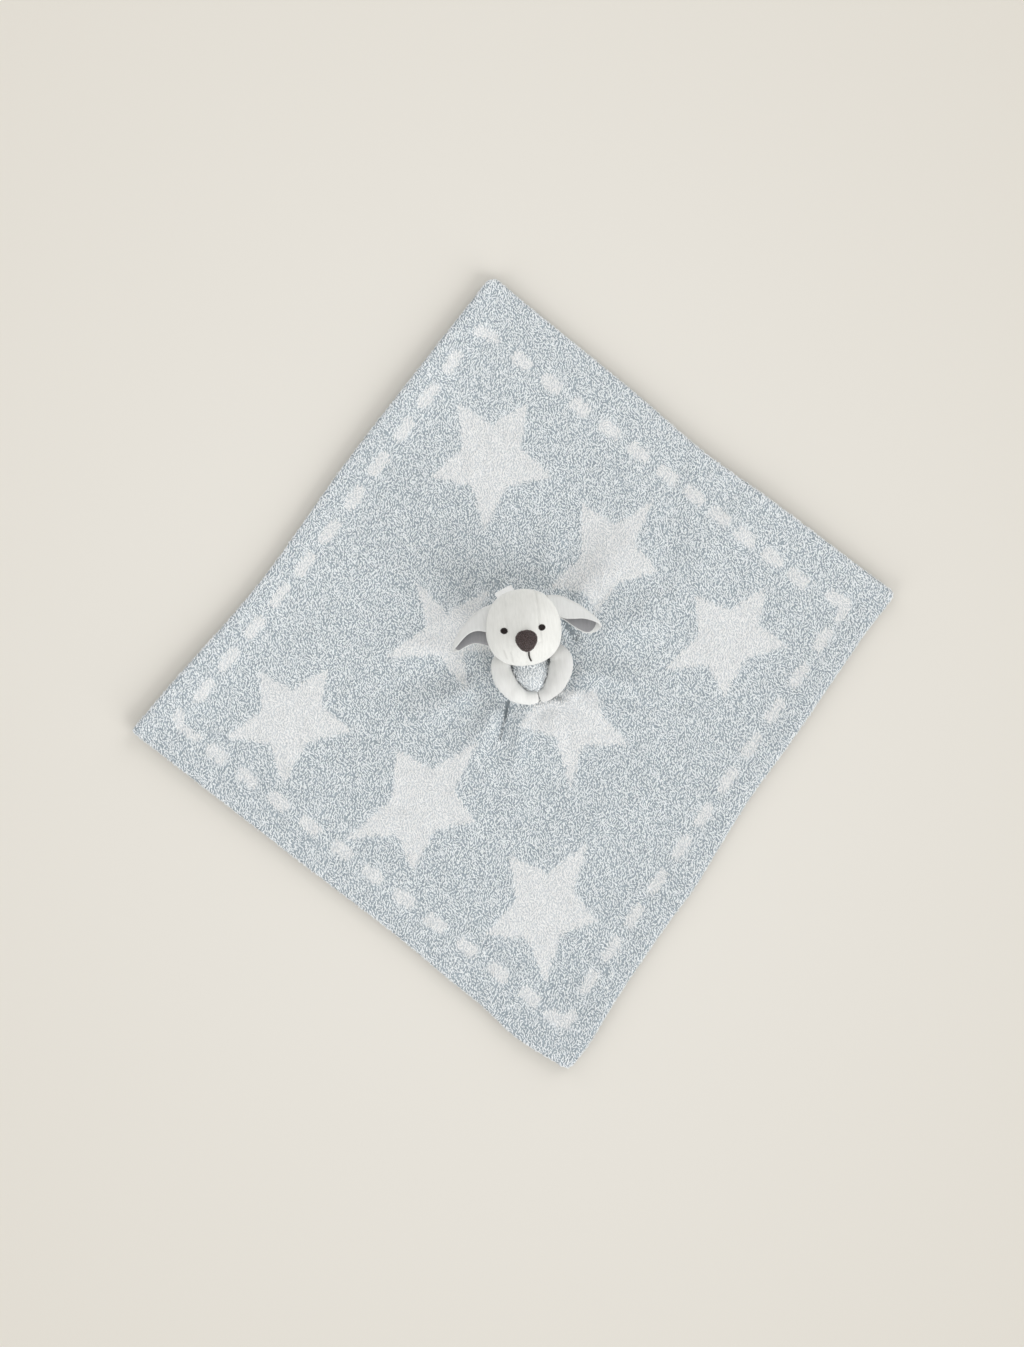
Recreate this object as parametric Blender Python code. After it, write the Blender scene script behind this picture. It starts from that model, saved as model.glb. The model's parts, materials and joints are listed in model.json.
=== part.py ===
"""Comfort blanket lovey: a knitted blanket laid out flat, with a puppy's head, ears and hugging arms
sewn to its gathered middle.

The puppy lies on its back, face up. +Y runs from the neck to the crown, +X is the puppy's own left
and +Z is up. The origin is on the ground, under the middle of the laid blanket.
"""

import functools
import math

import bmesh
import bpy
from mathutils import Vector
from mathutils.bvhtree import BVHTree

# Blanket: how far each corner lies from the neck
HEAD_CORNER_REACH = 0.344
FOOT_CORNER_REACH = 0.370
LEFT_CORNER_REACH = 0.334
RIGHT_CORNER_REACH = 0.361
SIDE_CORNER_SKEW_DEG = 4.8
CORNER_RADIUS = 0.014
CLOTH_THICKNESS = 0.0045

# Gathers that run out from the neck
FOLD_HEIGHT = 0.0075
FOLD_WIDTH = 0.012
FOLD_REACH = 0.150
FOLD_CLEARANCE = 0.014
FOLD_ROOT_WIDTH_SHARE = 0.6
FOLD_SPREAD_SHARE = 0.7
FOLD_RISE_SHARE = 0.16
FOLD_CREST_SHARE = 0.2
PATCH_MARGIN_SHARE = 1.04

# Gathered chest that rises between the arms and carries the chin
CHEST_HEIGHT = 0.0192
CHEST_HALF_WIDTH = 0.0185
CHEST_HALF_LENGTH = 0.0190
CHEST_OFFSET_X = 0.002
CHEST_OFFSET_Y = -0.009
CHEST_HOLLOW_SHARE = 0.5
CHEST_ROUNDNESS = 1.5
LEAST_CLOTH_SHARE = 0.9
CLOTH_SAG = 0.0003

# Head
HEAD_WIDTH = 0.0688
HEAD_LENGTH = 0.0698
HEAD_FRONT_DEPTH = 0.024
HEAD_BACK_DEPTH = 0.026
HEAD_OFFSET_Y = 0.0284
HEAD_LIFT = 0.0105
MUZZLE_RISE = 0.0085
MUZZLE_RADIUS = 0.0165
MUZZLE_OFFSET_Y = -0.0127
MUZZLE_BLEND_SHARE = 0.4
HEAD_SQUARENESS = 2.25
CHEEK_SHARE = 0.035
GUSSET_HALF_WIDTH = 0.0144
GUSSET_NAPE_DEG = -130
GUSSET_NOSE_DEG = 118
PLUSH_THICKNESS = 0.0012
FIT_GAP = 0.0003
FILLING_GAP = 0.0006
PAD_GAP = 0.0005
PAD_EDGE_DROP_SHARE = 0.86
PAD_ROUNDNESS = 2.4

# Face
EYE_DIAMETER = 0.0064
EYE_HEIGHT = 0.0016
EYE_SPACING = 0.0344
EYE_OFFSET_Y = -0.0019
NOSE_WIDTH = 0.0195
NOSE_LENGTH = 0.0190
NOSE_HEIGHT = 0.0042
NOSE_OFFSET_X = 0.0014
NOSE_TOP_SHARE = 0.07
NOSE_CORNER_SHARE = 0.05
MOUTH_LENGTH = 0.0080
MOUTH_THREAD = 0.0012
MOUTH_OFFSET_X = 0.0037
MOUTH_SLANT = 0.0009

# Blank satin loop at the back of the head
LABEL_WIDTH = 0.0175
LABEL_LENGTH = 0.0085
LABEL_THICKNESS = 0.0005
LABEL_BEND_RADIUS = 0.0009
LABEL_TURN_DEG = 113
LABEL_DIP_DEG = -24
LABEL_ROOT_GAP = 0.0009

# Seam that ties the head to the gathered chest
NECK_SEAM_RADIUS_DEG = 17
NECK_SEAM_THREAD = 0.0008
NECK_SEAM_OFFSET_Y = 0.0015
NECK_TOUCH_SHARE = 0.6
NECK_FOOT_SHARE = 1.6
NECK_HINGE_OFFSET_Y = -0.0038

# Ears, each a lined leaf folded over along its upper edge
EAR_WIDTH = 0.0250
EAR_FOLD_HEIGHT = 0.0074
LINING_THICKNESS = 0.0008
LINING_END_SHARE = 0.86
EAR_ROOT_LIFT = 0.0060
EAR_ROOT_DEPTH = 0.0060
EAR_SEAT_GAP = 0.0007
LEFT_EAR_SPAN = 0.0465
LEFT_EAR_DROP = 0.0135
LEFT_EAR_ARCH = 0.0010
LEFT_EAR_ROOT_DEG = 29
LEFT_EAR_TIP_DEG = -27
RIGHT_EAR_SPAN = 0.0430
RIGHT_EAR_DROP = 0.0150
RIGHT_EAR_ARCH = 0.0050
RIGHT_EAR_ROOT_DEG = 21
RIGHT_EAR_TIP_DEG = -33
EAR_BOW_SHARE = 0.16

# Arms, each a stuffed tube from the shoulder to the meeting hands
ARM_THICKNESS = 0.0195
HUG_HALF_WIDTH = 0.0270
HUG_REACH = 0.0330
ARM_PANEL_THICKNESS = 0.0010
ARM_SEAT_GAP = 0.0005
HANDS_GAP = 0.0004

# Angle, then start, end, height and width as shares of the gathers' sizes
FOLD_SHARES = (
    (-100, 0.22, 0.78, 1.00, 0.70),
    (-126, 0.22, 0.80, 0.95, 0.80),
    (-72, 0.22, 0.62, 0.60, 0.80),
    (-46, 0.22, 0.85, 0.80, 0.90),
    (-20, 0.24, 1.00, 0.95, 0.95),
    (12, 0.40, 1.05, 0.85, 1.10),
    (43, 0.40, 1.15, 0.80, 1.10),
    (72, 0.45, 0.95, 0.60, 1.00),
    (107, 0.42, 0.90, 0.60, 1.00),
    (136, 0.42, 1.05, 0.85, 1.15),
    (168, 0.40, 0.98, 0.80, 1.05),
    (-158, 0.26, 0.95, 0.85, 1.00),
)

# Share of the ear's length, then its width, exposed lining and fold height as shares
EAR_SHARES = (
    (0.00, 0.88, 0.06, 0.85),
    (0.14, 0.96, 0.12, 1.00),
    (0.30, 1.00, 0.26, 1.00),
    (0.48, 0.94, 0.42, 0.95),
    (0.66, 0.82, 0.46, 0.85),
    (0.82, 0.62, 0.42, 0.70),
    (0.93, 0.42, 0.36, 0.58),
    (1.00, 0.24, 0.30, 0.50),
)

# Shoulder to hand, as shares of the hug's half width and reach
RIGHT_ARM_SHARES = (
    (-0.66, 0.26),
    (-0.83, 0.06),
    (-0.87, -0.21),
    (-0.77, -0.54),
    (-0.52, -0.85),
    (-0.15, -1.04),
    (0.285, -1.04),
)
LEFT_ARM_SHARES = (
    (0.76, 0.36),
    (1.00, 0.15),
    (1.13, -0.12),
    (1.05, -0.40),
    (0.86, -0.72),
    (0.57, -0.97),
    (0.285, -1.04),
)

# Share of an arm's length, then its thickness as a share
ARM_SWELL_SHARES = (
    (0.00, 0.56),
    (0.12, 0.74),
    (0.28, 0.96),
    (0.48, 1.00),
    (0.66, 0.90),
    (0.84, 0.70),
    (1.00, 0.63),
)
ARM_END_SHARE = 0.15
ARM_BLUNTNESS = 2.6

RAYS_PER_SIDE = 10
CORNER_RAY_DEG = 1.6
INNER_RINGS = 7
OUTER_RINGS = 6
INNER_CROWDING = 1.2
OUTER_CROWDING = 1.6
HEAD_SIDE_STEPS = 5
GUSSET_STEPS = 4
GUSSET_ROWS = 18
CHIN_ROWS = 8
ARM_STEPS = 16
ARM_SIDES = 12
PAD_SIDES = 20
PAD_RINGS = 4
SEAM_POINTS = 24


def clear_scene():
    for item in list(bpy.data.objects):
        bpy.data.objects.remove(item, do_unlink=True)


def cloth_material(name, colour, roughness):
    made = bpy.data.materials.new(name)
    made.use_nodes = True
    shader = made.node_tree.nodes["Principled BSDF"]
    shader.inputs["Base Color"].default_value = (*colour, 1)
    shader.inputs["Roughness"].default_value = roughness
    shader.inputs["Metallic"].default_value = 0
    made.diffuse_color = (*colour, 1)
    return made


def object_from_bmesh(name, mesh_edit, material):
    mesh = bpy.data.meshes.new(name)
    mesh_edit.to_mesh(mesh)
    mesh_edit.free()
    mesh.materials.append(material)
    mesh.shade_smooth()
    made = bpy.data.objects.new(name, mesh)
    bpy.context.scene.collection.objects.link(made)
    return made


def smooth_step(low, high, value):
    share = min(max((value - low) / (high - low), 0), 1)
    return share * share * (3 - 2 * share)


def from_table(table, share, column):
    """Reads a column of a table of shares, eased between its rows."""
    for low, high in zip(table, table[1:]):
        if share <= high[0]:
            part = smooth_step(low[0], high[0], share)
            return low[column] + (high[column] - low[column]) * part
    return table[-1][column]


def smooth_path(points, steps):
    """Points at even steps of a Catmull-Rom curve through the given points."""
    ends = [points[0] * 2 - points[1], *points, points[-1] * 2 - points[-2]]
    path = []
    for step in range(steps + 1):
        place = step / steps * (len(points) - 1)
        span = min(int(place), len(points) - 2)
        t = place - span
        a, b, c, d = ends[span : span + 4]
        path.append(
            (b * 2 + (c - a) * t + (a * 2 - b * 5 + c * 4 - d) * t**2 + (b * 3 - a - c * 3 + d) * t**3) / 2
        )
    return path


def loft(rings, start=None, end=None):
    """Closed rings bridged in order; a start or end point closes that side."""
    edit = bmesh.new()
    loops = [[edit.verts.new(point) for point in ring] for ring in rings]
    for low, high in zip(loops, loops[1:]):
        for i, vert in enumerate(low):
            following = (i + 1) % len(low)
            edit.faces.new((vert, low[following], high[following], high[i]))
    for loop, point in ((loops[0], start), (loops[-1], end)):
        if point is None:
            continue
        pole = edit.verts.new(point)
        for i, vert in enumerate(loop):
            edit.faces.new((vert, loop[(i + 1) % len(loop)], pole))
    bmesh.ops.recalc_face_normals(edit, faces=edit.faces)
    return edit


def shell(outer_rows, inner_rows, keep=None):
    """A closed panel between two grids of points. keep(row, column) says which cells exist."""
    edit = bmesh.new()
    made = {}

    def vert_at(point):
        key = tuple(round(value / (FIT_GAP / 10)) for value in point)
        if key not in made:
            made[key] = edit.verts.new(point)
        return made[key]

    def add_face(*corners):
        corners = list(dict.fromkeys(corners))
        if len(corners) > 2:
            edit.faces.new(corners)

    cells = [
        (j, i)
        for j in range(len(outer_rows) - 1)
        for i in range(len(outer_rows[0]) - 1)
        if keep is None or keep(j, i)
    ]
    outer = [[vert_at(point) for point in row] for row in outer_rows]
    for j, i in cells:
        add_face(outer[j][i], outer[j][i + 1], outer[j + 1][i + 1], outer[j + 1][i])
    rim = [edge for edge in edit.edges if edge.is_boundary]
    inner = [[vert_at(point) for point in row] for row in inner_rows]
    for j, i in cells:
        add_face(inner[j][i], inner[j + 1][i], inner[j + 1][i + 1], inner[j][i + 1])
    below = {}
    for outer_row, inner_row in zip(outer, inner):
        below.update(zip(outer_row, inner_row))
    for edge in rim:
        a, b = edge.verts
        add_face(a, b, below[b], below[a])
    loose = [vert for vert in edit.verts if not vert.link_faces]
    bmesh.ops.delete(edit, geom=loose, context="VERTS")
    bmesh.ops.recalc_face_normals(edit, faces=edit.faces)
    return edit


# Blanket


def corner_rays():
    """The angle and reach of each corner, round the neck from the left one."""
    return (
        (SIDE_CORNER_SKEW_DEG, LEFT_CORNER_REACH),
        (90, HEAD_CORNER_REACH),
        (180 + SIDE_CORNER_SKEW_DEG, RIGHT_CORNER_REACH),
        (270, FOOT_CORNER_REACH),
    )


def along_ray(angle_deg, reach):
    angle = math.radians(angle_deg)
    return Vector((math.cos(angle), math.sin(angle))) * reach


def round_corner(previous, corner, following, angle_deg):
    """Where a ray from the neck leaves the blanket beside a rounded corner, or None past the round."""
    to_previous = (previous - corner).normalized()
    to_following = (following - corner).normalized()
    half_angle = to_previous.angle(to_following) / 2
    middle = corner + (to_previous + to_following).normalized() * CORNER_RADIUS / math.sin(half_angle)
    ray = along_ray(angle_deg, 1)
    along = middle.dot(ray)
    off = CORNER_RADIUS**2 - (middle.length_squared - along**2)
    if off < 0:
        return None
    place = ray * (along + math.sqrt(off))
    return place if (place - middle).dot(corner - middle) > CORNER_RADIUS**2 * math.sin(half_angle) else None


def outline_point(angle_deg):
    """The blanket's edge in a direction from the neck."""
    corners = [along_ray(*ray) for ray in corner_rays()]
    for i, corner in enumerate(corners):
        place = round_corner(corners[i - 1], corner, corners[(i + 1) % 4], angle_deg)
        if place is not None:
            return place
    ray = along_ray(angle_deg, 1)
    hits = []
    for corner, following in zip(corners, corners[1:] + corners[:1]):
        side = following - corner
        across = ray.x * side.y - ray.y * side.x
        reach = (corner.x * side.y - corner.y * side.x) / across
        part = (corner.x * ray.y - corner.y * ray.x) / across
        if reach > 0 and 0 <= part <= 1:
            hits.append(ray * reach)
    return min(hits, key=lambda hit: hit.length)


def sheet_angles():
    """Directions from the neck, evenly between the corners and closer at each of them."""
    angles = []
    corners = [ray[0] for ray in corner_rays()]
    for angle, following in zip(corners, corners[1:] + [corners[0] + 360]):
        angles += [angle, angle + CORNER_RAY_DEG]
        step = (following - angle) / RAYS_PER_SIDE
        angles += [angle + step * i for i in range(1, RAYS_PER_SIDE)]
        angles.append(following - CORNER_RAY_DEG)
    return angles


def laid_middle():
    """The middle of the laid blanket's box, seen from the neck."""
    edge = [outline_point(angle) for angle in sheet_angles()]
    across = [point.x for point in edge]
    along = [point.y for point in edge]
    return Vector(((min(across) + max(across)) / 2, (min(along) + max(along)) / 2, 0))


def head_centre():
    return Vector((0, HEAD_OFFSET_Y, HEAD_LIFT + HEAD_BACK_DEPTH))


def flat_patch_distance(x, y):
    """How far out a place is, where 1 is the edge of the flat patch under the head and arms."""
    crown = HEAD_OFFSET_Y + HEAD_LENGTH / 2
    hands = HUG_REACH + ARM_THICKNESS / 2
    half_length = (crown + hands) / 2
    half_width = HUG_HALF_WIDTH + ARM_THICKNESS / 2
    return math.hypot(x / half_width, (y - (crown - hands) / 2) / half_length)


def fold_lift(x, y):
    """How high the gathers hold the cloth off the ground."""
    lift = 0
    for angle_deg, start_share, end_share, height_share, width_share in FOLD_SHARES:
        ray = along_ray(angle_deg, 1)
        along = (x * ray.x + y * ray.y) / FOLD_REACH
        if not start_share < along < end_share:
            continue
        across = x * ray.y - y * ray.x
        width = FOLD_WIDTH * width_share * (FOLD_ROOT_WIDTH_SHARE + FOLD_SPREAD_SHARE * along)
        rise = smooth_step(start_share, start_share + FOLD_RISE_SHARE, along)
        rise *= 1 - smooth_step(start_share + FOLD_CREST_SHARE, end_share, along)
        lift += FOLD_HEIGHT * height_share * rise * math.exp(-((across / width) ** 2))
    edge = flat_patch_distance(x, y)
    return lift * smooth_step(PATCH_MARGIN_SHARE, 1 + FOLD_CLEARANCE / HUG_REACH, edge)


def chest_rise(x, y):
    """How high the gathered chest stands over the flat cloth."""
    off = ((x - CHEST_OFFSET_X) / CHEST_HALF_WIDTH) ** 2 + ((y - CHEST_OFFSET_Y) / CHEST_HALF_LENGTH) ** 2
    return CHEST_HEIGHT * max(0, 1 - off) ** CHEST_ROUNDNESS


def under_head(tree, x, y):
    """Height of the head's underside over a place, or None beside the head."""
    place = tree.ray_cast(Vector((x, y, 0)), Vector((0, 0, 1)))[0]
    return None if place is None else place.z


def neck_share(x, y):
    """How far out a place is, where 1 is the line of the neck seam."""
    ring = neck_ring()
    half_width = max(point.x for point in ring)
    front = min(point.y for point in ring)
    back = max(point.y for point in ring)
    return math.hypot(x / half_width, (y - (front + back) / 2) / ((back - front) / 2))


def sheet_heights(x, y, inner_tree, seam_tree):
    """Underside and top of the cloth over a place: flat, in a gather, on the chest or at the neck seam."""
    rise = chest_rise(x, y)
    lift = fold_lift(x, y)
    ceiling = under_head(seam_tree, x, y)
    if ceiling is not None:
        out = neck_share(x, y)
        inner = under_head(inner_tree, x, y)
        if out < 1 and inner is not None:
            ceiling = inner + (ceiling - inner) * smooth_step(NECK_TOUCH_SHARE, 1, out)
        rise = max(rise, (ceiling - CLOTH_THICKNESS) * (1 - smooth_step(1, NECK_FOOT_SHARE, out)))
    low = lift + rise * CHEST_HOLLOW_SHARE
    high = lift + rise + CLOTH_THICKNESS
    if ceiling is not None:
        high = min(high, ceiling)
    return min(low, high - CLOTH_THICKNESS * LEAST_CLOTH_SHARE), high


def sheet_rings():
    """Round rings under the head and arms, then rings that grow into the blanket's outline."""
    edge = [outline_point(angle) for angle in sheet_angles()]
    inner_reach = HUG_REACH + ARM_THICKNESS / 2
    rings = []
    for i in range(1, INNER_RINGS + 1):
        share = (i / INNER_RINGS) ** INNER_CROWDING
        rings.append([point.normalized() * inner_reach * share for point in edge])
    for i in range(1, OUTER_RINGS + 1):
        share = (i / OUTER_RINGS) ** OUTER_CROWDING
        rings.append([(point.normalized() * inner_reach).lerp(point, share) for point in edge])
    return rings


def make_blanket(material):
    inner_tree = head_tree(FIT_GAP + CLOTH_SAG)
    seam_tree = head_tree(FIT_GAP + NECK_SEAM_THREAD + FIT_GAP + CLOTH_SAG)
    top, under = [], []
    for places in sheet_rings():
        heights = [sheet_heights(place.x, place.y, inner_tree, seam_tree) for place in places]
        top.append([(p.x, p.y, high) for p, (_, high) in zip(places, heights)])
        under.append([(p.x, p.y, max(low, 0)) for p, (low, _) in zip(places, heights)])
    low, high = sheet_heights(0, 0, inner_tree, seam_tree)
    edit = loft(top[::-1], end=(0, 0, high))
    lower = loft(under[::-1], end=(0, 0, low))
    lower_mesh = bpy.data.meshes.new("underside")
    lower.to_mesh(lower_mesh)
    lower.free()
    edit.from_mesh(lower_mesh)
    bpy.data.meshes.remove(lower_mesh)
    rim = [item for item in edit.edges if item.is_boundary]
    bmesh.ops.bridge_loops(edit, edges=rim)
    bmesh.ops.recalc_face_normals(edit, faces=edit.faces)
    return object_from_bmesh("blanket_sheet", edit, material)


# Head


def head_surface(direction, inset=0):
    """The head's surface in a direction from its centre, moved in towards the centre by the inset."""
    across, along, up = direction
    flat = math.hypot(across, along)
    fullness = 1
    if flat > 0:
        power = HEAD_SQUARENESS
        fullness = (abs(across / flat) ** power + abs(along / flat) ** power) ** (-1 / power)
    x = HEAD_WIDTH / 2 * across * fullness * (1 - CHEEK_SHARE * along)
    y = HEAD_LENGTH / 2 * along * fullness
    z = (HEAD_FRONT_DEPTH if up > 0 else HEAD_BACK_DEPTH) * up
    off = math.hypot(x - NOSE_OFFSET_X, y - MUZZLE_OFFSET_Y) / MUZZLE_RADIUS
    z += MUZZLE_RISE * math.exp(-(off**2)) * smooth_step(0, MUZZLE_BLEND_SHARE, up)
    point = Vector((x, y, z))
    return head_centre() + point * (1 - inset / point.length)


def head_direction(side_deg, round_deg):
    """Side angle from the middle plane, and angle round from the crown over the face."""
    side = math.radians(side_deg)
    turn = math.radians(round_deg)
    return Vector((math.sin(side), math.cos(side) * math.cos(turn), math.cos(side) * math.sin(turn)))


def spread(low, high, steps):
    return [low + (high - low) * i / steps for i in range(steps + 1)]


def gusset_side_deg():
    return math.degrees(math.asin(GUSSET_HALF_WIDTH / (HEAD_WIDTH / 2)))


def seam_gap_deg():
    return math.degrees(FIT_GAP / HEAD_WIDTH)


def head_panel(directions, keep=None):
    outer = [[head_surface(direction) for direction in row] for row in directions]
    inner = [[head_surface(direction, PLUSH_THICKNESS) for direction in row] for row in directions]
    return shell(outer, inner, keep)


def make_gusset(material):
    side = gusset_side_deg() - seam_gap_deg()
    gap = seam_gap_deg()
    sides = spread(-side, side, GUSSET_STEPS)
    turns = spread(GUSSET_NAPE_DEG + gap, GUSSET_NOSE_DEG - gap, GUSSET_ROWS)
    directions = [[head_direction(s, turn) for s in sides] for turn in turns]
    return object_from_bmesh("head_gusset", head_panel(directions), material)


def make_head_side(name, sign, material):
    """A cheek panel that reaches under the chin to the middle seam."""
    gap = seam_gap_deg()
    chin_sides = spread(gap, gusset_side_deg() + gap, GUSSET_STEPS // 2)
    sides = chin_sides[:-1] + spread(gusset_side_deg() + gap, 90, HEAD_SIDE_STEPS)
    chin_turns = spread(GUSSET_NOSE_DEG + gap, 360 + GUSSET_NAPE_DEG - gap, CHIN_ROWS)
    turns = chin_turns[:-1] + spread(chin_turns[-1], GUSSET_NOSE_DEG + gap + 360, GUSSET_ROWS)
    directions = [[head_direction(sign * s, turn) for s in sides] for turn in turns]
    edit = head_panel(directions, lambda row, column: row < CHIN_ROWS or column >= GUSSET_STEPS // 2)
    return object_from_bmesh(name, edit, material)


def head_rings(inset):
    side = gusset_side_deg()
    sides = spread(-90, -side, HEAD_SIDE_STEPS)[1:]
    sides += spread(-side, side, GUSSET_STEPS)[1:-1]
    sides += spread(side, 90, HEAD_SIDE_STEPS)[:-1]
    turns = spread(GUSSET_NOSE_DEG, 360 + GUSSET_NAPE_DEG, CHIN_ROWS)[:-1]
    turns += spread(360 + GUSSET_NAPE_DEG, 360 + GUSSET_NOSE_DEG, GUSSET_ROWS)[:-1]
    return [[head_surface(head_direction(s, turn), inset) for turn in turns] for s in sides]


def closed_head(inset):
    right = head_surface(Vector((-1, 0, 0)), inset)
    left = head_surface(Vector((1, 0, 0)), inset)
    return loft(head_rings(inset), right, left)


def make_head_filling(material):
    return object_from_bmesh("head_filling", closed_head(PLUSH_THICKNESS + FILLING_GAP), material)


def head_tree(room=0):
    """The head's surface, grown by some room, for finding places on it."""
    edit = closed_head(-room)
    tree = BVHTree.FromBMesh(edit)
    edit.free()
    return tree


def on_face(tree, x, y):
    """Place and outward normal on the front of the head, at a place seen from above the head's centre."""
    start = head_centre() + Vector((x, y, HEAD_WIDTH))
    place, normal, _, _ = tree.ray_cast(start, Vector((0, 0, -1)))
    return place, normal


def make_pad(name, tree, centre, outline, height, material):
    """A domed pad that follows the face under it. outline(angle) gives its edge from the centre."""
    top, base = [], []
    for ring in range(PAD_RINGS):
        share = (ring + 1) / PAD_RINGS
        crown = height * math.sqrt(1 - PAD_EDGE_DROP_SHARE * share**PAD_ROUNDNESS)
        top_ring, base_ring = [], []
        for i in range(PAD_SIDES):
            off = outline(2 * math.pi * i / PAD_SIDES) * share
            place, normal = on_face(tree, centre[0] + off.x, centre[1] + off.y)
            base_ring.append(place + normal * PAD_GAP)
            top_ring.append(place + normal * (PAD_GAP + crown))
        top.append(top_ring)
        base.append(base_ring)
    place, normal = on_face(tree, *centre)
    rings = top + base[::-1]
    crown_point = place + normal * (PAD_GAP + height)
    return object_from_bmesh(name, loft(rings, crown_point, place + normal * PAD_GAP), material)


def nose_outline(angle):
    """A rounded triangle, wide at the top."""
    narrowing = 1 + NOSE_TOP_SHARE * math.sin(angle) + NOSE_CORNER_SHARE * math.sin(3 * angle)
    return Vector((math.cos(angle) * NOSE_WIDTH / 2, math.sin(angle) * NOSE_LENGTH / 2)) * narrowing


def eye_outline(angle):
    return Vector((math.cos(angle), math.sin(angle))) * EYE_DIAMETER / 2


def thread_curve(name, points, thickness, cyclic, material):
    curve = bpy.data.curves.new(name, "CURVE")
    curve.dimensions = "3D"
    curve.bevel_depth = thickness / 2
    curve.bevel_resolution = 1
    curve.use_fill_caps = True
    spline = curve.splines.new("POLY")
    spline.points.add(len(points) - 1)
    for knot, point in zip(spline.points, points):
        knot.co = (*point, 1)
    spline.use_cyclic_u = cyclic
    curve.materials.append(material)
    made = bpy.data.objects.new(name, curve)
    bpy.context.scene.collection.objects.link(made)
    return made


def make_mouth(tree, material):
    """A short upright stitch from the nose towards the chin."""
    top = MUZZLE_OFFSET_Y - NOSE_LENGTH / 2 - MOUTH_THREAD
    points = []
    for share in spread(0, 1, 6):
        x = MOUTH_OFFSET_X + MOUTH_SLANT * share
        place, normal = on_face(tree, x, top - MOUTH_LENGTH * share)
        points.append(place + normal * (FIT_GAP + MOUTH_THREAD / 2))
    return thread_curve("mouth_stitch", points, MOUTH_THREAD, False, material)


def make_label(material):
    """A ribbon folded into a loop, its two ends at the back of the head."""
    out = head_direction(0, LABEL_DIP_DEG)
    turn = math.radians(LABEL_TURN_DEG)
    out = Vector((math.cos(turn) * out.y, math.sin(turn) * out.y, out.z))
    root = head_surface(out)
    out = (root - head_centre()).normalized()
    across = Vector((0, 0, 1)).cross(out).normalized()
    up = out.cross(across)
    bend = LABEL_BEND_RADIUS
    stretch = LABEL_LENGTH - bend
    half = LABEL_THICKNESS / 2

    def loop_section(radius):
        low = [Vector((LABEL_ROOT_GAP, -radius))]
        turns = spread(-math.pi / 2, math.pi / 2, 6)
        round_end = [Vector((stretch + radius * math.cos(a), radius * math.sin(a))) for a in turns]
        return low + round_end + [Vector((LABEL_ROOT_GAP, radius))]

    def rows_of(section):
        sides = spread(-LABEL_WIDTH / 2, LABEL_WIDTH / 2, 4)
        return [[root + out * p.x + up * p.y + across * side for side in sides] for p in section]

    edit = shell(rows_of(loop_section(bend + half)), rows_of(loop_section(bend - half)))
    return object_from_bmesh("blank_label", edit, material)


# Neck


def neck_seam_direction():
    """The direction from the head's centre to the middle of the neck seam."""
    along = (NECK_SEAM_OFFSET_Y - HEAD_OFFSET_Y) / (HEAD_LENGTH / 2)
    return Vector((0, along, -math.sqrt(1 - along**2)))


def neck_axis():
    """The head turns about the line that stands square on its skin at the neck seam."""
    direction = neck_seam_direction()
    return Vector((0, -direction.y / (HEAD_LENGTH / 2), -direction.z / HEAD_BACK_DEPTH)).normalized()


@functools.cache
def neck_ring():
    """The line of the neck seam round the back of the head, where its thread lies."""
    middle = neck_seam_direction()
    side = Vector((1, 0, 0))
    up = middle.cross(side)
    spread_angle = math.radians(NECK_SEAM_RADIUS_DEG)
    points = []
    for i in range(SEAM_POINTS):
        angle = 2 * math.pi * i / SEAM_POINTS
        around = side * math.cos(angle) + up * math.sin(angle)
        direction = middle * math.cos(spread_angle) + around * math.sin(spread_angle)
        points.append(head_surface(direction, -(FIT_GAP + NECK_SEAM_THREAD / 2)))
    return points


def make_neck_seam(material):
    return thread_curve("neck_seam", neck_ring(), NECK_SEAM_THREAD, True, material)


# Ears


def ear_sizes(sign):
    """Span, drop, arch, root angle and tip angle of the ear on one side."""
    if sign > 0:
        return LEFT_EAR_SPAN, LEFT_EAR_DROP, LEFT_EAR_ARCH, LEFT_EAR_ROOT_DEG, LEFT_EAR_TIP_DEG
    return RIGHT_EAR_SPAN, RIGHT_EAR_DROP, RIGHT_EAR_ARCH, RIGHT_EAR_ROOT_DEG, RIGHT_EAR_TIP_DEG


def ear_frame(sign):
    """Root, tip, the line across towards the crown and the upward normal of an ear."""
    span, drop, _, root_deg, tip_deg = ear_sizes(sign)
    turn = math.radians(root_deg)
    lift = EAR_ROOT_LIFT / HEAD_FRONT_DEPTH
    root = head_surface(Vector((sign * math.cos(turn), math.sin(turn), lift)).normalized())
    out = Vector((root.x, root.y - HEAD_OFFSET_Y, 0)).normalized()
    across = Vector((-out.y, out.x, 0)) * sign
    tip_angle = math.radians(tip_deg)
    tip = Vector((sign * math.cos(tip_angle) * span, math.sin(tip_angle) * span, -drop))
    normal = tip.cross(across).normalized() * sign
    return root, tip, across, normal


def ear_section(share, inset):
    """The folded leaf's cross-section, across and up, from the lower edge over the fold."""
    width = EAR_WIDTH * from_table(EAR_SHARES, share, 1)
    bare = width * from_table(EAR_SHARES, share, 2)
    radius = EAR_FOLD_HEIGHT / 2 * from_table(EAR_SHARES, share, 3)
    low_edge = -width / 2
    bend = width / 2 - radius
    inner = radius - inset
    section = [(across, -inner - radius) for across in spread(low_edge + inset, bend, 4)]
    section += [
        (bend + inner * math.cos(angle), inner * math.sin(angle) - radius)
        for angle in spread(-math.pi / 2, math.pi / 2, 4)[1:-1]
    ]
    flap_edge = low_edge + bare
    section += [(across, inner - radius) for across in spread(bend, flap_edge + inset, 4)]
    return section


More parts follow.
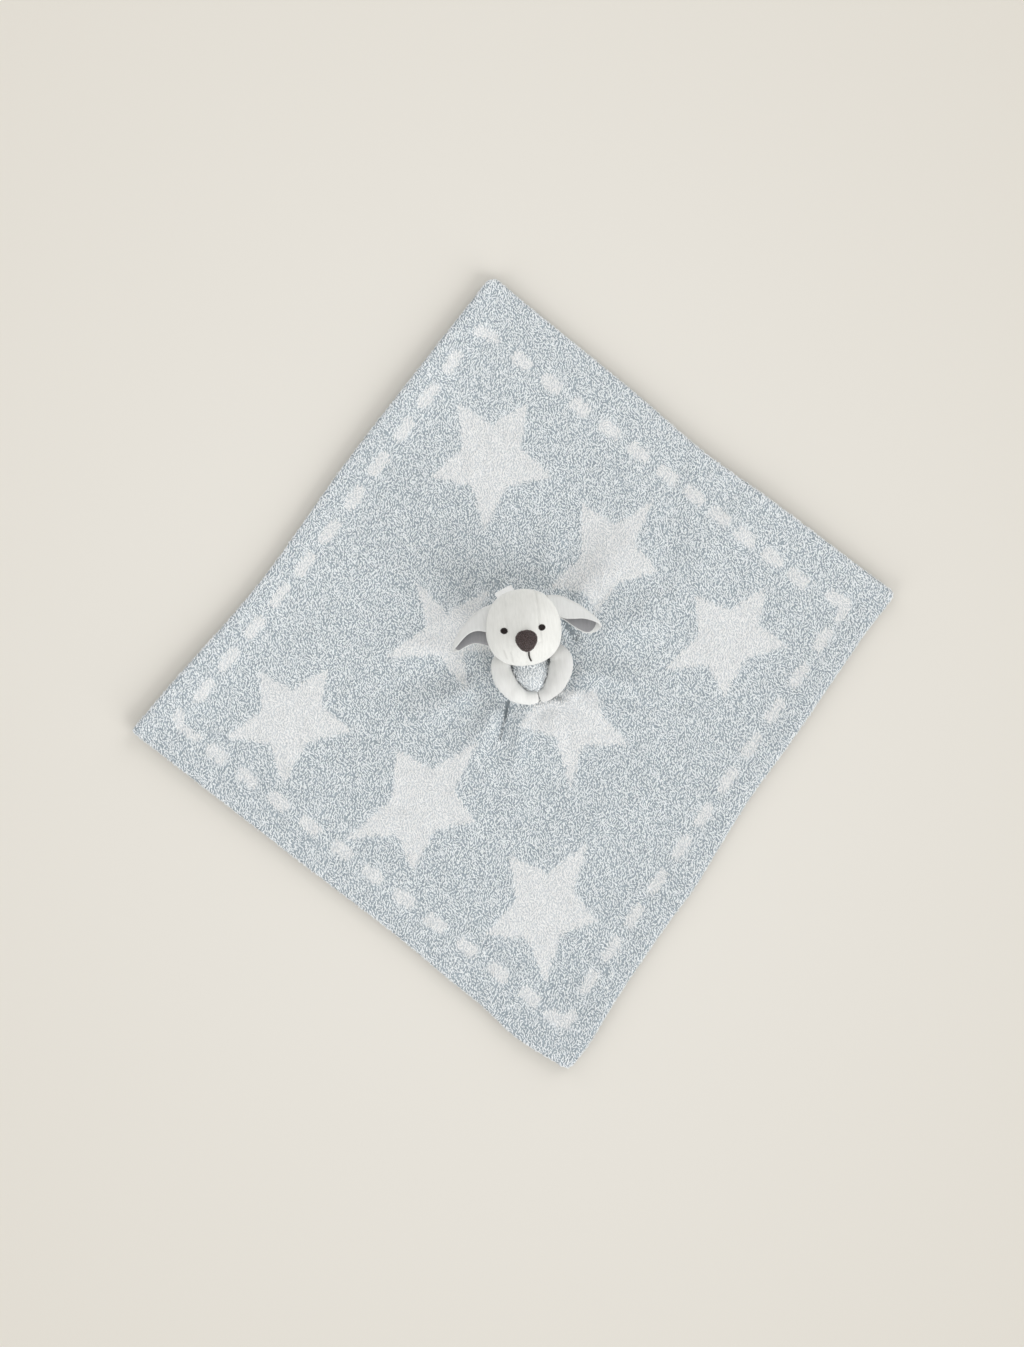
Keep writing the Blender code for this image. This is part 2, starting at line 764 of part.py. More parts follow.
def ear_rows(sign, inset, end_share):
    """Cross-sections of an ear's layer from inside the head towards the tip."""
    root, tip, across, normal = ear_frame(sign)
    arch = ear_sizes(sign)[2]
    rows = []
    for share in [-EAR_ROOT_DEPTH / tip.length] + [row[0] * end_share for row in EAR_SHARES]:
        reach = share
        bulge = math.sin(math.pi * max(reach, 0))
        middle = root + tip * reach + across * bulge * EAR_WIDTH * EAR_BOW_SHARE + normal * bulge * arch
        rows.append([middle + across * side + normal * up for side, up in ear_section(max(share, 0), inset)])
    return rows


def make_ear_layer(name, sign, outer_inset, thickness, end_share, cutter, material):
    """One layer of an ear, cut to the side of the head."""
    outer = ear_rows(sign, outer_inset, end_share)
    edit = shell(outer, ear_rows(sign, outer_inset + thickness, end_share))
    layer = object_from_bmesh(name, edit, material)
    cut = layer.modifiers.new("seat on the head", "BOOLEAN")
    cut.operation = "DIFFERENCE"
    cut.solver = "EXACT"
    cut.object = cutter
    return layer


def make_head_cutter():
    """The head's outside and the ears' seat gap, which the ears are cut to."""
    mesh = bpy.data.meshes.new("head_cutter")
    edit = closed_head(-EAR_SEAT_GAP)
    edit.to_mesh(mesh)
    edit.free()
    cutter = bpy.data.objects.new("head_cutter", mesh)
    bpy.context.scene.collection.objects.link(cutter)
    cutter.hide_render = True
    cutter.display_type = "WIRE"
    return cutter


# Arms


def arm_radius(share):
    thickness = ARM_THICKNESS * from_table(ARM_SWELL_SHARES, share, 1)
    near = max(0, (ARM_END_SHARE - share) / ARM_END_SHARE)
    far = max(0, (share - 1 + ARM_END_SHARE) / ARM_END_SHARE)
    blunt = math.sqrt(max(0, 1 - near**ARM_BLUNTNESS)) * math.sqrt(max(0, 1 - far**ARM_BLUNTNESS))
    return thickness / 2 * blunt


def arm_centreline(shares, sign):
    flat = [Vector((x * HUG_HALF_WIDTH, y * HUG_REACH, 0)) for x, y in shares]
    flat[-1] += Vector((sign * HANDS_GAP / 2, 0, 0))
    path = smooth_path(flat, ARM_STEPS * 3)
    seat = CLOTH_THICKNESS + ARM_SEAT_GAP
    for i, point in enumerate(path):
        thickness = ARM_THICKNESS * from_table(ARM_SWELL_SHARES, i / (ARM_STEPS * 3), 1)
        point.z = seat + thickness / 2
    return path


def arm_ring(path, share, angles, inset=0):
    """Points round the arm; angle 0 faces out of the hug and a quarter turn faces up."""
    place = share * (len(path) - 1)
    i = min(int(place), len(path) - 2)
    centre = path[i].lerp(path[i + 1], place - i)
    ahead = (path[min(i + 2, len(path) - 1)] - path[max(i - 1, 0)]).normalized()
    side = ahead.cross(Vector((0, 0, 1))).normalized()
    up = side.cross(ahead)
    short = inset / path_length(path)
    radius = min(arm_radius(max(share - short, 0)), arm_radius(min(share + short, 1))) - inset
    return [centre + (side * math.cos(angle) + up * math.sin(angle)) * radius for angle in angles]


def path_length(path):
    return sum((b - a).length for a, b in zip(path, path[1:]))


def arm_stations(inset, path):
    """Shares of the arm's length, closer together at its rounded ends."""
    short = (inset + ARM_PANEL_THICKNESS) / path_length(path)
    eased = [(1 - math.cos(math.pi * i / ARM_STEPS)) / 2 for i in range(ARM_STEPS + 1)]
    return [short + (1 - 2 * short) * share for share in eased]


def make_arm_panel(name, shares, sign, upper, material):
    """Half of the arm's skin, from seam to seam along the arm."""
    path = arm_centreline(shares, sign)
    gap = FIT_GAP / ARM_THICKNESS
    angles = spread(gap, math.pi - gap, ARM_SIDES // 2)
    if not upper:
        angles = [angle + math.pi for angle in angles]
    stations = arm_stations(0, path)
    outer = [arm_ring(path, station, angles) for station in stations]
    inner = [arm_ring(path, station, angles, ARM_PANEL_THICKNESS) for station in stations]
    return object_from_bmesh(name, shell(outer, inner), material)


def make_arm_filling(name, shares, sign, material):
    path = arm_centreline(shares, sign)
    inset = ARM_PANEL_THICKNESS + FILLING_GAP
    angles = [2 * math.pi * i / ARM_SIDES for i in range(ARM_SIDES)]
    rings = [arm_ring(path, station, angles, inset) for station in arm_stations(inset * 2, path)]
    start = sum(rings[0], Vector()) / ARM_SIDES
    end = sum(rings[-1], Vector()) / ARM_SIDES
    return object_from_bmesh(name, loft(rings, start, end), material)


def group_on_pivot(name, items, pivot):
    """Hangs a moving piece's objects on an empty at its joint."""
    empty = bpy.data.objects.new(name, None)
    empty.location = pivot
    bpy.context.scene.collection.objects.link(empty)
    bpy.context.view_layer.update()
    for item in items:
        item.parent = empty
        item.matrix_parent_inverse = empty.matrix_world.inverted()
    return empty


def main():
    clear_scene()
    chenille = cloth_material("blue_chenille", (0.54, 0.60, 0.62), 0.95)
    plush = cloth_material("off_white_plush", (0.74, 0.74, 0.71), 0.85)
    lining = cloth_material("grey_lining", (0.25, 0.25, 0.26), 0.85)
    nose_plush = cloth_material("brown_nose_plush", (0.075, 0.055, 0.055), 0.9)
    dark_thread = cloth_material("dark_brown_thread", (0.03, 0.02, 0.02), 0.6)
    white_thread = cloth_material("white_thread", (0.75, 0.75, 0.73), 0.7)
    satin = cloth_material("white_satin", (0.86, 0.86, 0.85), 0.4)
    fibre = cloth_material("polyester_filling", (0.85, 0.85, 0.85), 1.0)

    blanket = make_blanket(chenille)
    tree = head_tree()
    half_spacing = EYE_SPACING / 2
    head_items = [
        make_gusset(plush),
        make_head_side("head_side_left", 1, plush),
        make_head_side("head_side_right", -1, plush),
        make_head_filling(fibre),
        make_pad("eye_left", tree, (half_spacing, EYE_OFFSET_Y), eye_outline, EYE_HEIGHT, dark_thread),
        make_pad("eye_right", tree, (-half_spacing, EYE_OFFSET_Y), eye_outline, EYE_HEIGHT, dark_thread),
        make_pad("nose", tree, (NOSE_OFFSET_X, MUZZLE_OFFSET_Y), nose_outline, NOSE_HEIGHT, nose_plush),
        make_mouth(tree, dark_thread),
        make_label(satin),
    ]
    seam = make_neck_seam(white_thread)
    cutter = make_head_cutter()
    ears = {}
    for side, sign in (("left", 1), ("right", -1)):
        ears[side] = [
            make_ear_layer(f"ear_{side}_outer", sign, 0, PLUSH_THICKNESS, 1, cutter, plush),
            make_ear_layer(
                f"ear_{side}_lining",
                sign,
                PLUSH_THICKNESS + FIT_GAP,
                LINING_THICKNESS,
                LINING_END_SHARE,
                cutter,
                lining,
            ),
        ]
    arms = {}
    for side, sign, shares in (("left", 1, LEFT_ARM_SHARES), ("right", -1, RIGHT_ARM_SHARES)):
        arms[side] = [
            make_arm_panel(f"arm_{side}_upper_panel", shares, sign, True, plush),
            make_arm_panel(f"arm_{side}_lower_panel", shares, sign, False, plush),
            make_arm_filling(f"arm_{side}_filling", shares, sign, fibre),
        ]

    hinge_height = under_head(tree, 0, NECK_HINGE_OFFSET_Y)
    neck = group_on_pivot("neck_hinge", [seam], Vector((0, NECK_HINGE_OFFSET_Y, hinge_height)))
    seam_middle = head_surface(neck_seam_direction())
    head = group_on_pivot("head_pivot", head_items, seam_middle)
    pivots = [cutter, neck, head]
    for side, sign in (("left", 1), ("right", -1)):
        pivots.append(group_on_pivot(f"ear_{side}_hinge", ears[side], ear_frame(sign)[0]))
    for side, sign, shares in (("left", 1, LEFT_ARM_SHARES), ("right", -1, RIGHT_ARM_SHARES)):
        shoulder = arm_centreline(shares, sign)[0]
        pivots.append(group_on_pivot(f"arm_{side}_shoulder", arms[side], shoulder))
    for item in [blanket, *pivots]:
        item.location -= laid_middle()
    bpy.context.view_layer.update()


main()
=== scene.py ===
import json
from math import ceil, cos, pi, radians, sin, sqrt, tau

import bmesh
import bpy
import numpy as np
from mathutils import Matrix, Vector
from mathutils.bvhtree import BVHTree
from mathutils.kdtree import KDTree

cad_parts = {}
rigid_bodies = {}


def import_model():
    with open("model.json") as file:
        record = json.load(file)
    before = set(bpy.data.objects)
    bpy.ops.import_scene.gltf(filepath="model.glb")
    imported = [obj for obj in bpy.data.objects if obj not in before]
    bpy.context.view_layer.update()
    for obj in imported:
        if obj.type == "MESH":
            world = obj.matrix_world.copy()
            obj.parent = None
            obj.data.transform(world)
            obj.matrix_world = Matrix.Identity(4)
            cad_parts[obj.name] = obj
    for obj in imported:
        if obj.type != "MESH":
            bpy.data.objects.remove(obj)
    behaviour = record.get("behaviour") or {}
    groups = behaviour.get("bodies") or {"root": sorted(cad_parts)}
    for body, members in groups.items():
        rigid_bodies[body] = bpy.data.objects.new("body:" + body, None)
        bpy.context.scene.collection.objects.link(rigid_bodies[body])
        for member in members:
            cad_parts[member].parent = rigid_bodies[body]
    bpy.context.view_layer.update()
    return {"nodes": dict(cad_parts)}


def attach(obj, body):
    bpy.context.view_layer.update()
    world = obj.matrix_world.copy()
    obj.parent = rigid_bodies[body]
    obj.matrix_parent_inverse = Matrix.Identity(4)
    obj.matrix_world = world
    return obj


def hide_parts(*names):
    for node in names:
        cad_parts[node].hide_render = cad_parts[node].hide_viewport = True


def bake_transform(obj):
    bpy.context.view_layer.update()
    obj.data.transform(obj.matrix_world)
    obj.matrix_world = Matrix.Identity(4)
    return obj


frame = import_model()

neckPlace = np.array((0.01311, 0.01265, 0.0))  # every place below is measured from the neck
photoScale = 0.0009  # metres of cloth to a pixel of the photograph
photoHeight = 1347
photoTurn = radians(5.8)
photoNeck = (526.5, 659.2)
mm = 0.001
floorGap = 0.0001  # the cloth and its pile stay this far off the floor
farUp = 1.0  # stands for nothing overhead

for item in list(bpy.data.objects):
    if item.name in ("Cube", "Light", "Camera"):
        bpy.data.objects.remove(item)


# small helpers


def smoothStep(low, high, value):
    share = np.clip((value - low) / (high - low), 0, 1)
    return share * share * (3 - 2 * share)


def bell(value, width, middle=0.0):
    return np.exp(-(((value - middle) / width) ** 2))


def fromTable(rows, share):
    # a smooth value between the rows of a table
    rows = np.array(rows, float)
    share = np.clip(share, rows[0, 0], rows[-1, 0])
    i = np.clip(np.searchsorted(rows[:, 0], share, side="right") - 1, 0, len(rows) - 2)
    part = smoothStep(rows[i, 0], rows[i + 1, 0], share)
    return rows[i, 1] + (rows[i + 1, 1] - rows[i, 1]) * part


def smoothPath(points, steps):
    # a smooth curve through the points, at even steps
    knots = np.array(points, float)
    ends = np.vstack((2 * knots[0] - knots[1], knots, 2 * knots[-1] - knots[-2]))
    place = np.linspace(0, len(knots) - 1, steps + 1)
    span = np.minimum(place.astype(int), len(knots) - 2)
    t = (place - span)[:, None]
    a, b, c, d = (ends[span + i] for i in range(4))
    return (b * 2 + (c - a) * t + (a * 2 - b * 5 + c * 4 - d) * t**2 + (b * 3 - a - c * 3 + d) * t**3) / 2


def turns(count):
    # even angles all the way round
    return np.linspace(0, tau, count, endpoint=False)


def unit(vectors):
    return vectors / np.maximum(np.linalg.norm(vectors, axis=-1, keepdims=True), 1e-12)


def fromPhoto(across, down):
    # a pixel of the photograph as a place on the cloth
    dx = (np.asarray(across, float) - photoNeck[0]) * photoScale
    dy = (photoNeck[1] - np.asarray(down, float)) * photoScale
    c, s = cos(photoTurn), sin(photoTurn)
    return np.stack((dx * c + dy * s, dy * c - dx * s), -1)


def traced(pixels):
    # a row of pixels, across and down in turn, as places on the cloth
    return fromPhoto(*np.array(pixels, float).reshape(-1, 2).T)


def offLine(spots, ax, ay, bx, by):
    # how far each spot lies from a line drawn on the photograph
    start, end = fromPhoto(ax, ay), fromPhoto(bx, by)
    share = np.clip(((spots - start) @ (end - start)) / ((end - start) @ (end - start)), 0, 1)
    return np.linalg.norm(spots - start - share[:, None] * (end - start), axis=-1)


def insideShape(points, corners):
    # which points lie inside a closed outline
    inside = np.zeros(len(points), bool)
    for (ax, ay), (bx, by) in zip(corners, np.roll(corners, -1, axis=0)):
        crosses = (ay > points[:, 1]) != (by > points[:, 1])
        along = (points[:, 1] - ay) / np.where(by == ay, 1e-12, by - ay)
        inside ^= crosses & (points[:, 0] < ax + along * (bx - ax))
    return inside


def gridFaces(rows, columns, closed=False):
    # quads between rows of points; closed joins the last column to the first
    j, i = np.meshgrid(np.arange(rows - 1), np.arange(columns if closed else columns - 1), indexing="ij")
    k = (i + 1) % columns
    quads = np.stack((j * columns + i, j * columns + k, (j + 1) * columns + k, (j + 1) * columns + i), -1)
    return quads.reshape(-1, 4).tolist()


def tubeFaces(rows, columns):
    # rings joined into a tube, each end closed on a pole point that follows the rings
    faces = gridFaces(rows, columns, closed=True)
    pole, start = rows * columns, (rows - 1) * columns
    for i in range(columns):
        k = (i + 1) % columns
        faces += [[k, i, pole], [start + i, start + k, pole + 1]]
    return faces


def addObject(name, data):
    made = bpy.data.objects.new(name, data)
    bpy.context.scene.collection.objects.link(made)
    return made


def makeMesh(name, points, faces, finish=None, tidyNormals=True):
    mesh = bpy.data.meshes.new(name)
    mesh.from_pydata((np.asarray(points) + neckPlace).tolist(), [], faces)
    if tidyNormals:
        edit = bmesh.new()
        edit.from_mesh(mesh)
        bmesh.ops.remove_doubles(edit, verts=edit.verts, dist=1e-6)
        bmesh.ops.recalc_face_normals(edit, faces=edit.faces)
        edit.to_mesh(mesh)
        edit.free()
    mesh.shade_smooth()
    if finish:
        mesh.materials.append(finish)
    return addObject(name, mesh)


def makeTube(name, rings, finish, poles=None):
    # a closed tube through rings of points; its poles are the end rings' middles unless they are given
    poles = poles or (np.mean(rings[0], axis=0), np.mean(rings[-1], axis=0))
    return makeMesh(name, np.vstack((*rings, *poles)), tubeFaces(len(rings), len(rings[0])), finish)


def addNumbers(made, name, values, kind="FLOAT"):
    layer = made.data.attributes.new(name, kind, "POINT")
    layer.data.foreach_set("vector" if kind == "FLOAT_VECTOR" else "value", np.asarray(values, np.float32).ravel())


def pointsOf(mesh):
    co = np.empty(len(mesh.vertices) * 3, np.float32)
    mesh.vertices.foreach_get("co", co)
    return co.reshape(-1, 3).astype(float) - neckPlace


def treeOf(*meshes):
    # the meshes' surfaces, for finding places on them
    points, faces = [], []
    for mesh in meshes:
        start = len(points)
        points += pointsOf(mesh).tolist()
        faces += [[corner + start for corner in face.vertices] for face in mesh.polygons]
    return BVHTree.FromPolygons(points, faces)


def bakedMesh(made):
    # the object's mesh with its modifiers applied; the object goes
    graph = bpy.context.evaluated_depsgraph_get()
    mesh = bpy.data.meshes.new_from_object(made.evaluated_get(graph), depsgraph=graph)
    bpy.data.objects.remove(made)
    return mesh


def joined(name, *pieces):
    edit = bmesh.new()
    for piece in pieces:
        edit.from_mesh(piece.data)
    mesh = bpy.data.meshes.new(name)
    edit.to_mesh(mesh)
    edit.free()
    for finish in pieces[0].data.materials:
        mesh.materials.append(finish)
    mesh.shade_smooth()
    for piece in pieces:
        bpy.data.objects.remove(piece)
    return addObject(name, mesh)


# node maths


class Wire:
    def __init__(self, board, socket):
        self.board = board
        self.socket = socket

    def math(self, operation, *terms):
        return self.board.node("ShaderNodeMath", {"operation": operation}, dict(enumerate(terms)))

    def __add__(self, other):
        return self.math("ADD", self, other)

    __radd__ = __add__

    def __sub__(self, other):
        return self.math("SUBTRACT", self, other)

    def __rsub__(self, other):
        return self.math("SUBTRACT", other, self)

    def __mul__(self, other):
        return self.math("MULTIPLY", self, other)

    def __truediv__(self, other):
        return self.math("DIVIDE", self, other)

    def clamped(self):
        return self.board.node("ShaderNodeClamp", {}, {0: self})

    def sine(self):
        return self.math("SINE", self)


def paint(red, green, blue):
    # a screen colour, 0 to 255, as the linear colour that nodes take
    shares = [value / 255 for value in (red, green, blue)]
    return (*[share / 12.92 if share <= 0.04045 else ((share + 0.055) / 1.055) ** 2.4 for share in shares], 1)


class Board:
    def __init__(self, tree):
        self.tree = tree

    def node(self, kind, settings=None, inputs=None, output=0):
        made = self.tree.nodes.new(kind)
        for name, value in (settings or {}).items():
            if name == "stops":
                ramp = made.color_ramp
                while len(ramp.elements) < len(value):
                    ramp.elements.new(0.5)
                for stop, (place, colour) in zip(ramp.elements, value):
                    stop.position = place
                    stop.color = colour
            else:
                setattr(made, name, value)
        for socket, value in (inputs or {}).items():
            if isinstance(value, Wire):
                self.tree.links.new(value.socket, made.inputs[socket])
            else:
                made.inputs[socket].default_value = value
        return Wire(self, made.outputs[output])

    def mix(self, share, *colours):
        # two colours, each a wire or red, green and blue from 0 to 255 as on a screen
        first, second = (colour if isinstance(colour, Wire) else paint(*colour) for colour in colours)
        return self.node("ShaderNodeMix", {"data_type": "RGBA"}, {0: share, 6: first, 7: second}, output=2)

    def place(self, stretch=(1, 1, 1)):
        spot = self.node("ShaderNodeTexCoord", output=3)
        return self.node("ShaderNodeMapping", {}, {0: spot, 3: stretch})

    def noise(self, scale, detail, stretch=(1, 1, 1)):
        return self.node("ShaderNodeTexNoise", {}, {0: self.place(stretch), 2: scale, 3: detail})

    def attribute(self, name):
        return self.node("ShaderNodeAttribute", {"attribute_name": name}, output=2)


class Finish(Board):
    def __init__(self, name, roughness, sheen=0.0, sheenRoughness=0.5, specular=0.3):
        self.material = bpy.data.materials.new(name)
        self.material.use_nodes = True
        super().__init__(self.material.node_tree)
        self.shader = self.tree.nodes["Principled BSDF"]
        for socket, value in (
            ("Roughness", roughness),
            ("Sheen Weight", sheen),
            ("Sheen Roughness", sheenRoughness),
            ("Specular IOR Level", specular),
        ):
            self.shader.inputs[socket].default_value = value

    def feed(self, socket, value):
        self.tree.links.new(value.socket, self.shader.inputs[socket])

    def dressed(self, colour, height, depth, strength):
        # the material with its colour, and bumps as high as "height" says
        self.feed("Base Color", colour)
        self.feed("Normal", self.node("ShaderNodeBump", {}, {0: strength, 1: depth, 3: height}))
        return self.material


# finishes


def chenilleFinish():
    made = Finish("chenille pile", 0.92, sheen=1.0, sheenRoughness=0.6, specular=0.5)
    tone, tip, shade = made.attribute("tone"), made.attribute("tip"), made.attribute("shade")
    blue = made.mix(shade, (236, 242, 246), (251, 254, 255))
    white = made.mix(shade, (247, 248, 248), (255, 255, 254))
    cloth = made.mix(tone, blue, white)
    # painted shade: low on each yarn, at its roots and sides where 'tip' is small, the yarn takes this dark colour; the
    # fibre and clump noise also darkens it at random
    dark = made.mix(tone, (124, 137, 145), (203, 205, 205))
    fuzz = made.noise(560, 2.0, stretch=(1.0, 0.45, 1.0))
    clumps = made.noise(170, 2.0, stretch=(1.0, 0.6, 1.0))
    # 'shade' holds each yarn's random tone, with painted light on the chest and the rim added and painted shade in the
    # creases taken off; 'lit' is the painted light past 1
    lit = (shade - 1).clamped() * 2
    yarn = made.mix((tip * 3.4 + fuzz * 0.9 + clumps * 1.2 + lit - 0.84).clamped(), dark, cloth)
    # painted shade in the creases, where the yarns' 'shade' is low
    paintedCreaseShade = made.mix(tone, (118, 129, 136), (170, 170, 168))
    return made.dressed(made.mix((shade * 5.0).clamped(), paintedCreaseShade, yarn), fuzz, 0.0004, 0.6)


def groundFinish():
    made = Finish("chenille ground", 0.95, sheen=0.2)
    tone = made.attribute("tone")
    lumps = made.node("ShaderNodeTexVoronoi", {}, {0: made.place(), 2: 390.0})
    rows = made.noise(160, 2.0)
    # painted shade: the ground shows between the tufts, so its blue is painted darker than the yarn's
    blue = made.mix(rows, (146, 158, 166), (183, 193, 200))
    cloth = made.mix(tone, blue, (228, 231, 233))
    # painted shade in the creases, where 'fold' says
    cloth = made.mix(made.attribute("fold"), cloth, (124, 132, 136))
    # painted shade in the hollows between the knit's lumps, where the bump sinks
    hollow = made.mix(0.4, cloth, (150, 160, 166))
    return made.dressed(made.mix((lumps * 0.9).clamped(), cloth, hollow), 1 - lumps, 0.0012, 0.8)


def plushFinish(name, light, dark):
    made = Finish(name, 0.88, sheen=0.45, sheenRoughness=0.45)
    streaks = made.noise(700, 3.0, stretch=(1.0, 0.12, 0.3))
    fibres = made.noise(2600, 2.0)
    clouds = made.noise(60, 2.0)
    nap = made.mix((streaks * 0.9 + clouds * 0.55 - 0.35).clamped(), dark, light)
    made.feed("Roughness", 0.8 + fibres * 0.2)
    # painted shade along the head's seams and tucks, where 'seam' says
    sewn = made.mix(0.6, dark, (150, 148, 142))
    return made.dressed(made.mix(made.attribute("seam"), nap, sewn), streaks * 0.6 + fibres * 0.4, 0.0004, 0.7)


def speckledFinish(name, light, dark):
    made = Finish(name, 0.9, sheen=0.35)
    specks = made.noise(1100, 2.0)
    fibres = made.noise(3200, 2.0)
    ramp = {"stops": ((0.36, (0, 0, 0, 1)), (0.72, (1, 1, 1, 1)))}
    share = made.node("ShaderNodeValToRGB", ramp, {0: specks * 0.7 + fibres * 0.3})
    return made.dressed(made.mix(share, dark, light), specks, 0.0005, 0.8)


def threadFinish(name, light, dark, roughness=0.6):
    made = Finish(name, roughness, sheen=0.25, sheenRoughness=0.4)
    fibres = made.noise(3800, 2.0, stretch=(1, 1, 0.5))
    return made.dressed(made.mix(fibres, dark, light), fibres, 0.00015, 0.7)


def satinFinish():
    made = Finish("white satin", 0.38, sheen=0.2, specular=0.5)
    bands = {"wave_type": "BANDS", "bands_direction": "DIAGONAL"}
    warp = made.node("ShaderNodeTexWave", bands, {0: made.place(), 1: 900.0, 2: 0.6, 3: 2.0}, output=1)
    made.feed("Roughness", 0.3 + warp * 0.15)
    return made.dressed(made.mix(warp, (240, 240, 240), (253, 253, 252)), warp, 0.0001, 0.5)


chenillePile = chenilleFinish()
chenilleGround = groundFinish()
headPlush = plushFinish("off white plush", (241, 241, 237), (218, 218, 213))
# painted shade: the ears' plush is the head's, painted darker
shadedEarPlush = plushFinish("off white ear plush", (229, 230, 228), (207, 208, 206))
# the two arms are one plush, and the left arm's copy is painted darker: painted shade
armPlush = {
    "left": plushFinish("off white left arm plush", (230, 230, 228), (207, 207, 204)),
    "right": plushFinish("off white right arm plush", (241, 242, 239), (219, 219, 216)),
}
earVelour = plushFinish("grey ear velour", (157, 157, 159), (132, 132, 134))
nosePlush = speckledFinish("brown nose plush", (126, 108, 105), (30, 23, 24))
darkThread = threadFinish("dark embroidery thread", (46, 33, 31), (20, 13, 12), 0.5)
whiteThread = threadFinish("white sewing thread", (236, 236, 233), (214, 214, 210))
whiteSatin = satinFinish()
print("finishes are made")


# geometry nodes: one tuft or stitch on each point


yarnSizes = ("length", "height", "thickness", "variation", "sides", "steps", "seed")


def growTree():
    tree = bpy.data.node_groups.new("yarn on points", "GeometryNodeTree")
    tree.interface.new_socket(name="Geometry", in_out="INPUT", socket_type="NodeSocketGeometry")
    sockets = {}
    for label, kind in zip((*yarnSizes, "finish"), ["Float"] * 4 + ["Int"] * 3 + ["Material"]):
        socket = tree.interface.new_socket(name=label, in_out="INPUT", socket_type="NodeSocket" + kind)
        sockets[label] = socket.identifier
    tree.interface.new_socket(name="Geometry", in_out="OUTPUT", socket_type="NodeSocketGeometry")
    board = Board(tree)
    entry = tree.nodes.new("NodeGroupInput")
    given = {socket.name: Wire(board, socket) for socket in entry.outputs if socket.name}
    height, thickness = given["height"], given["thickness"]
    half = given["length"] * 0.5

    def spot(x, z):
        return board.node("ShaderNodeCombineXYZ", {}, {0: half * x, 2: height * z})

    def stored(name):
        return board.node("GeometryNodeInputNamedAttribute", {"data_type": "FLOAT_VECTOR"}, {0: name})

    # the arch stands on two feet below the cloth
    bends = {0: given["steps"], 1: spot(-0.62, -0.2), 2: spot(-1.05, 1.2), 3: spot(1.05, 1.2), 4: spot(0.62, -0.2)}
    arch = board.node("GeometryNodeCurvePrimitiveBezierSegment", {}, bends)
    swell = 0.62 + (board.node("GeometryNodeSplineParameter") * pi).sine() * 0.42
    arch = board.node("GeometryNodeSetCurveRadius", {}, {0: arch, 2: swell})
    ring = board.node("GeometryNodeCurvePrimitiveCircle", {}, {0: given["sides"], 4: thickness * 0.5})
    yarn = board.node("GeometryNodeCurveToMesh", {}, {0: arch, 1: ring, 2: swell, 3: True})
    rise = board.node("ShaderNodeSeparateXYZ", {}, {0: board.node("GeometryNodeInputPosition")}, output=2)
    # 'tip' is how high each point stands on the yarn; the pile's finish paints shade where it is low
    yarn = board.node(
        "GeometryNodeStoreNamedAttribute",
        {"data_type": "FLOAT", "domain": "POINT"},
        {0: yarn, 2: "tip", 3: (rise / (height + thickness * 0.5)).clamped()},
    )
    turned = board.node("FunctionNodeAlignRotationToVector", {"axis": "Z"}, {2: stored("up")})
    aim = {0: turned, 2: stored("along")}
    turned = board.node("FunctionNodeAlignRotationToVector", {"axis": "X", "pivot_axis": "Z"}, aim)
    size = board.node(
        "FunctionNodeRandomValue",
        {"data_type": "FLOAT"},
        {2: 1 - given["variation"], 3: 1 + given["variation"], 8: given["seed"] + 1},
        output=1,
    )
    scale = board.node("ShaderNodeVectorMath", {"operation": "SCALE"}, {0: stored("stretch"), 3: size})
    made = board.node("GeometryNodeInstanceOnPoints", {}, {0: given["Geometry"], 2: yarn, 5: turned, 6: scale})
    made = board.node("GeometryNodeRealizeInstances", {}, {0: made})
    made = board.node("GeometryNodeSetShadeSmooth", {}, {0: made, 2: True})
    made = board.node("GeometryNodeSetMaterial", {}, {0: made, 2: given["finish"]})
    leave = tree.nodes.new("NodeGroupOutput")
    tree.links.new(made.socket, leave.inputs[0])
    return tree, sockets


yarnTree, yarnSockets = growTree()


def grown(name, points, ups, along, stretch, yarn, finish, numbers=None):
    # one arch of yarn on each point, standing on "ups" and lying along "along", as a plain mesh
    seedMesh = makeMesh(name + "_seeds", points, [], tidyNormals=False)
    for label, values in (("up", ups), ("along", along), ("stretch", stretch)):
        addNumbers(seedMesh, label, values, "FLOAT_VECTOR")
    for label, values in (numbers or {}).items():
        addNumbers(seedMesh, label, values)
    modifier = seedMesh.modifiers.new("grow", "NODES")
    modifier.node_group = yarnTree
    for label, value in yarn.items():
        modifier[yarnSockets[label]] = value
    modifier[yarnSockets["finish"]] = finish
    mesh = bakedMesh(seedMesh)
    mesh.name = name
    for label in ("up", "stretch", "along"):
        if label in mesh.attributes:
            mesh.attributes.remove(mesh.attributes[label])
    if not mesh.materials:
        mesh.materials.append(finish)
    yarnCells(mesh, len(points), yarn["sides"])
    return addObject(name, mesh)


def yarnCells(mesh, count, sides):
    # a square of the texture plane for each yarn: along it one way, mirrored round it the other
    each = len(mesh.vertices) // count
    across = ceil(sqrt(count))
    index = np.arange(len(mesh.vertices))
    yarn, corner = index // each, index % each
    step, turn = corner // sides / max(1, each // sides - 1), corner % sides / sides
    u = (yarn % across + 0.1 + 0.8 * step) / across
    v = (yarn // across + 0.1 + 0.8 * np.abs(turn * 2 - 1)) / across
    corners = np.empty(len(mesh.loops), np.int32)
    mesh.loops.foreach_get("vertex_index", corners)
    layer = mesh.uv_layers.new(name="OFBake")
    layer.uv.foreach_set("vector", np.column_stack((u, v))[corners].astype(np.float32).ravel())


# the CAD's head and arms, which press on the cloth under them

headNodes = ["head_gusset", "head_side_left", "head_side_right"]
armNodes = ["arm_left_lower_panel", "arm_right_lower_panel", "arm_left_upper_panel", "arm_right_upper_panel"]
pressTree = treeOf(*[frame["nodes"][name].data for name in [*headNodes, *armNodes, "neck_seam"]])


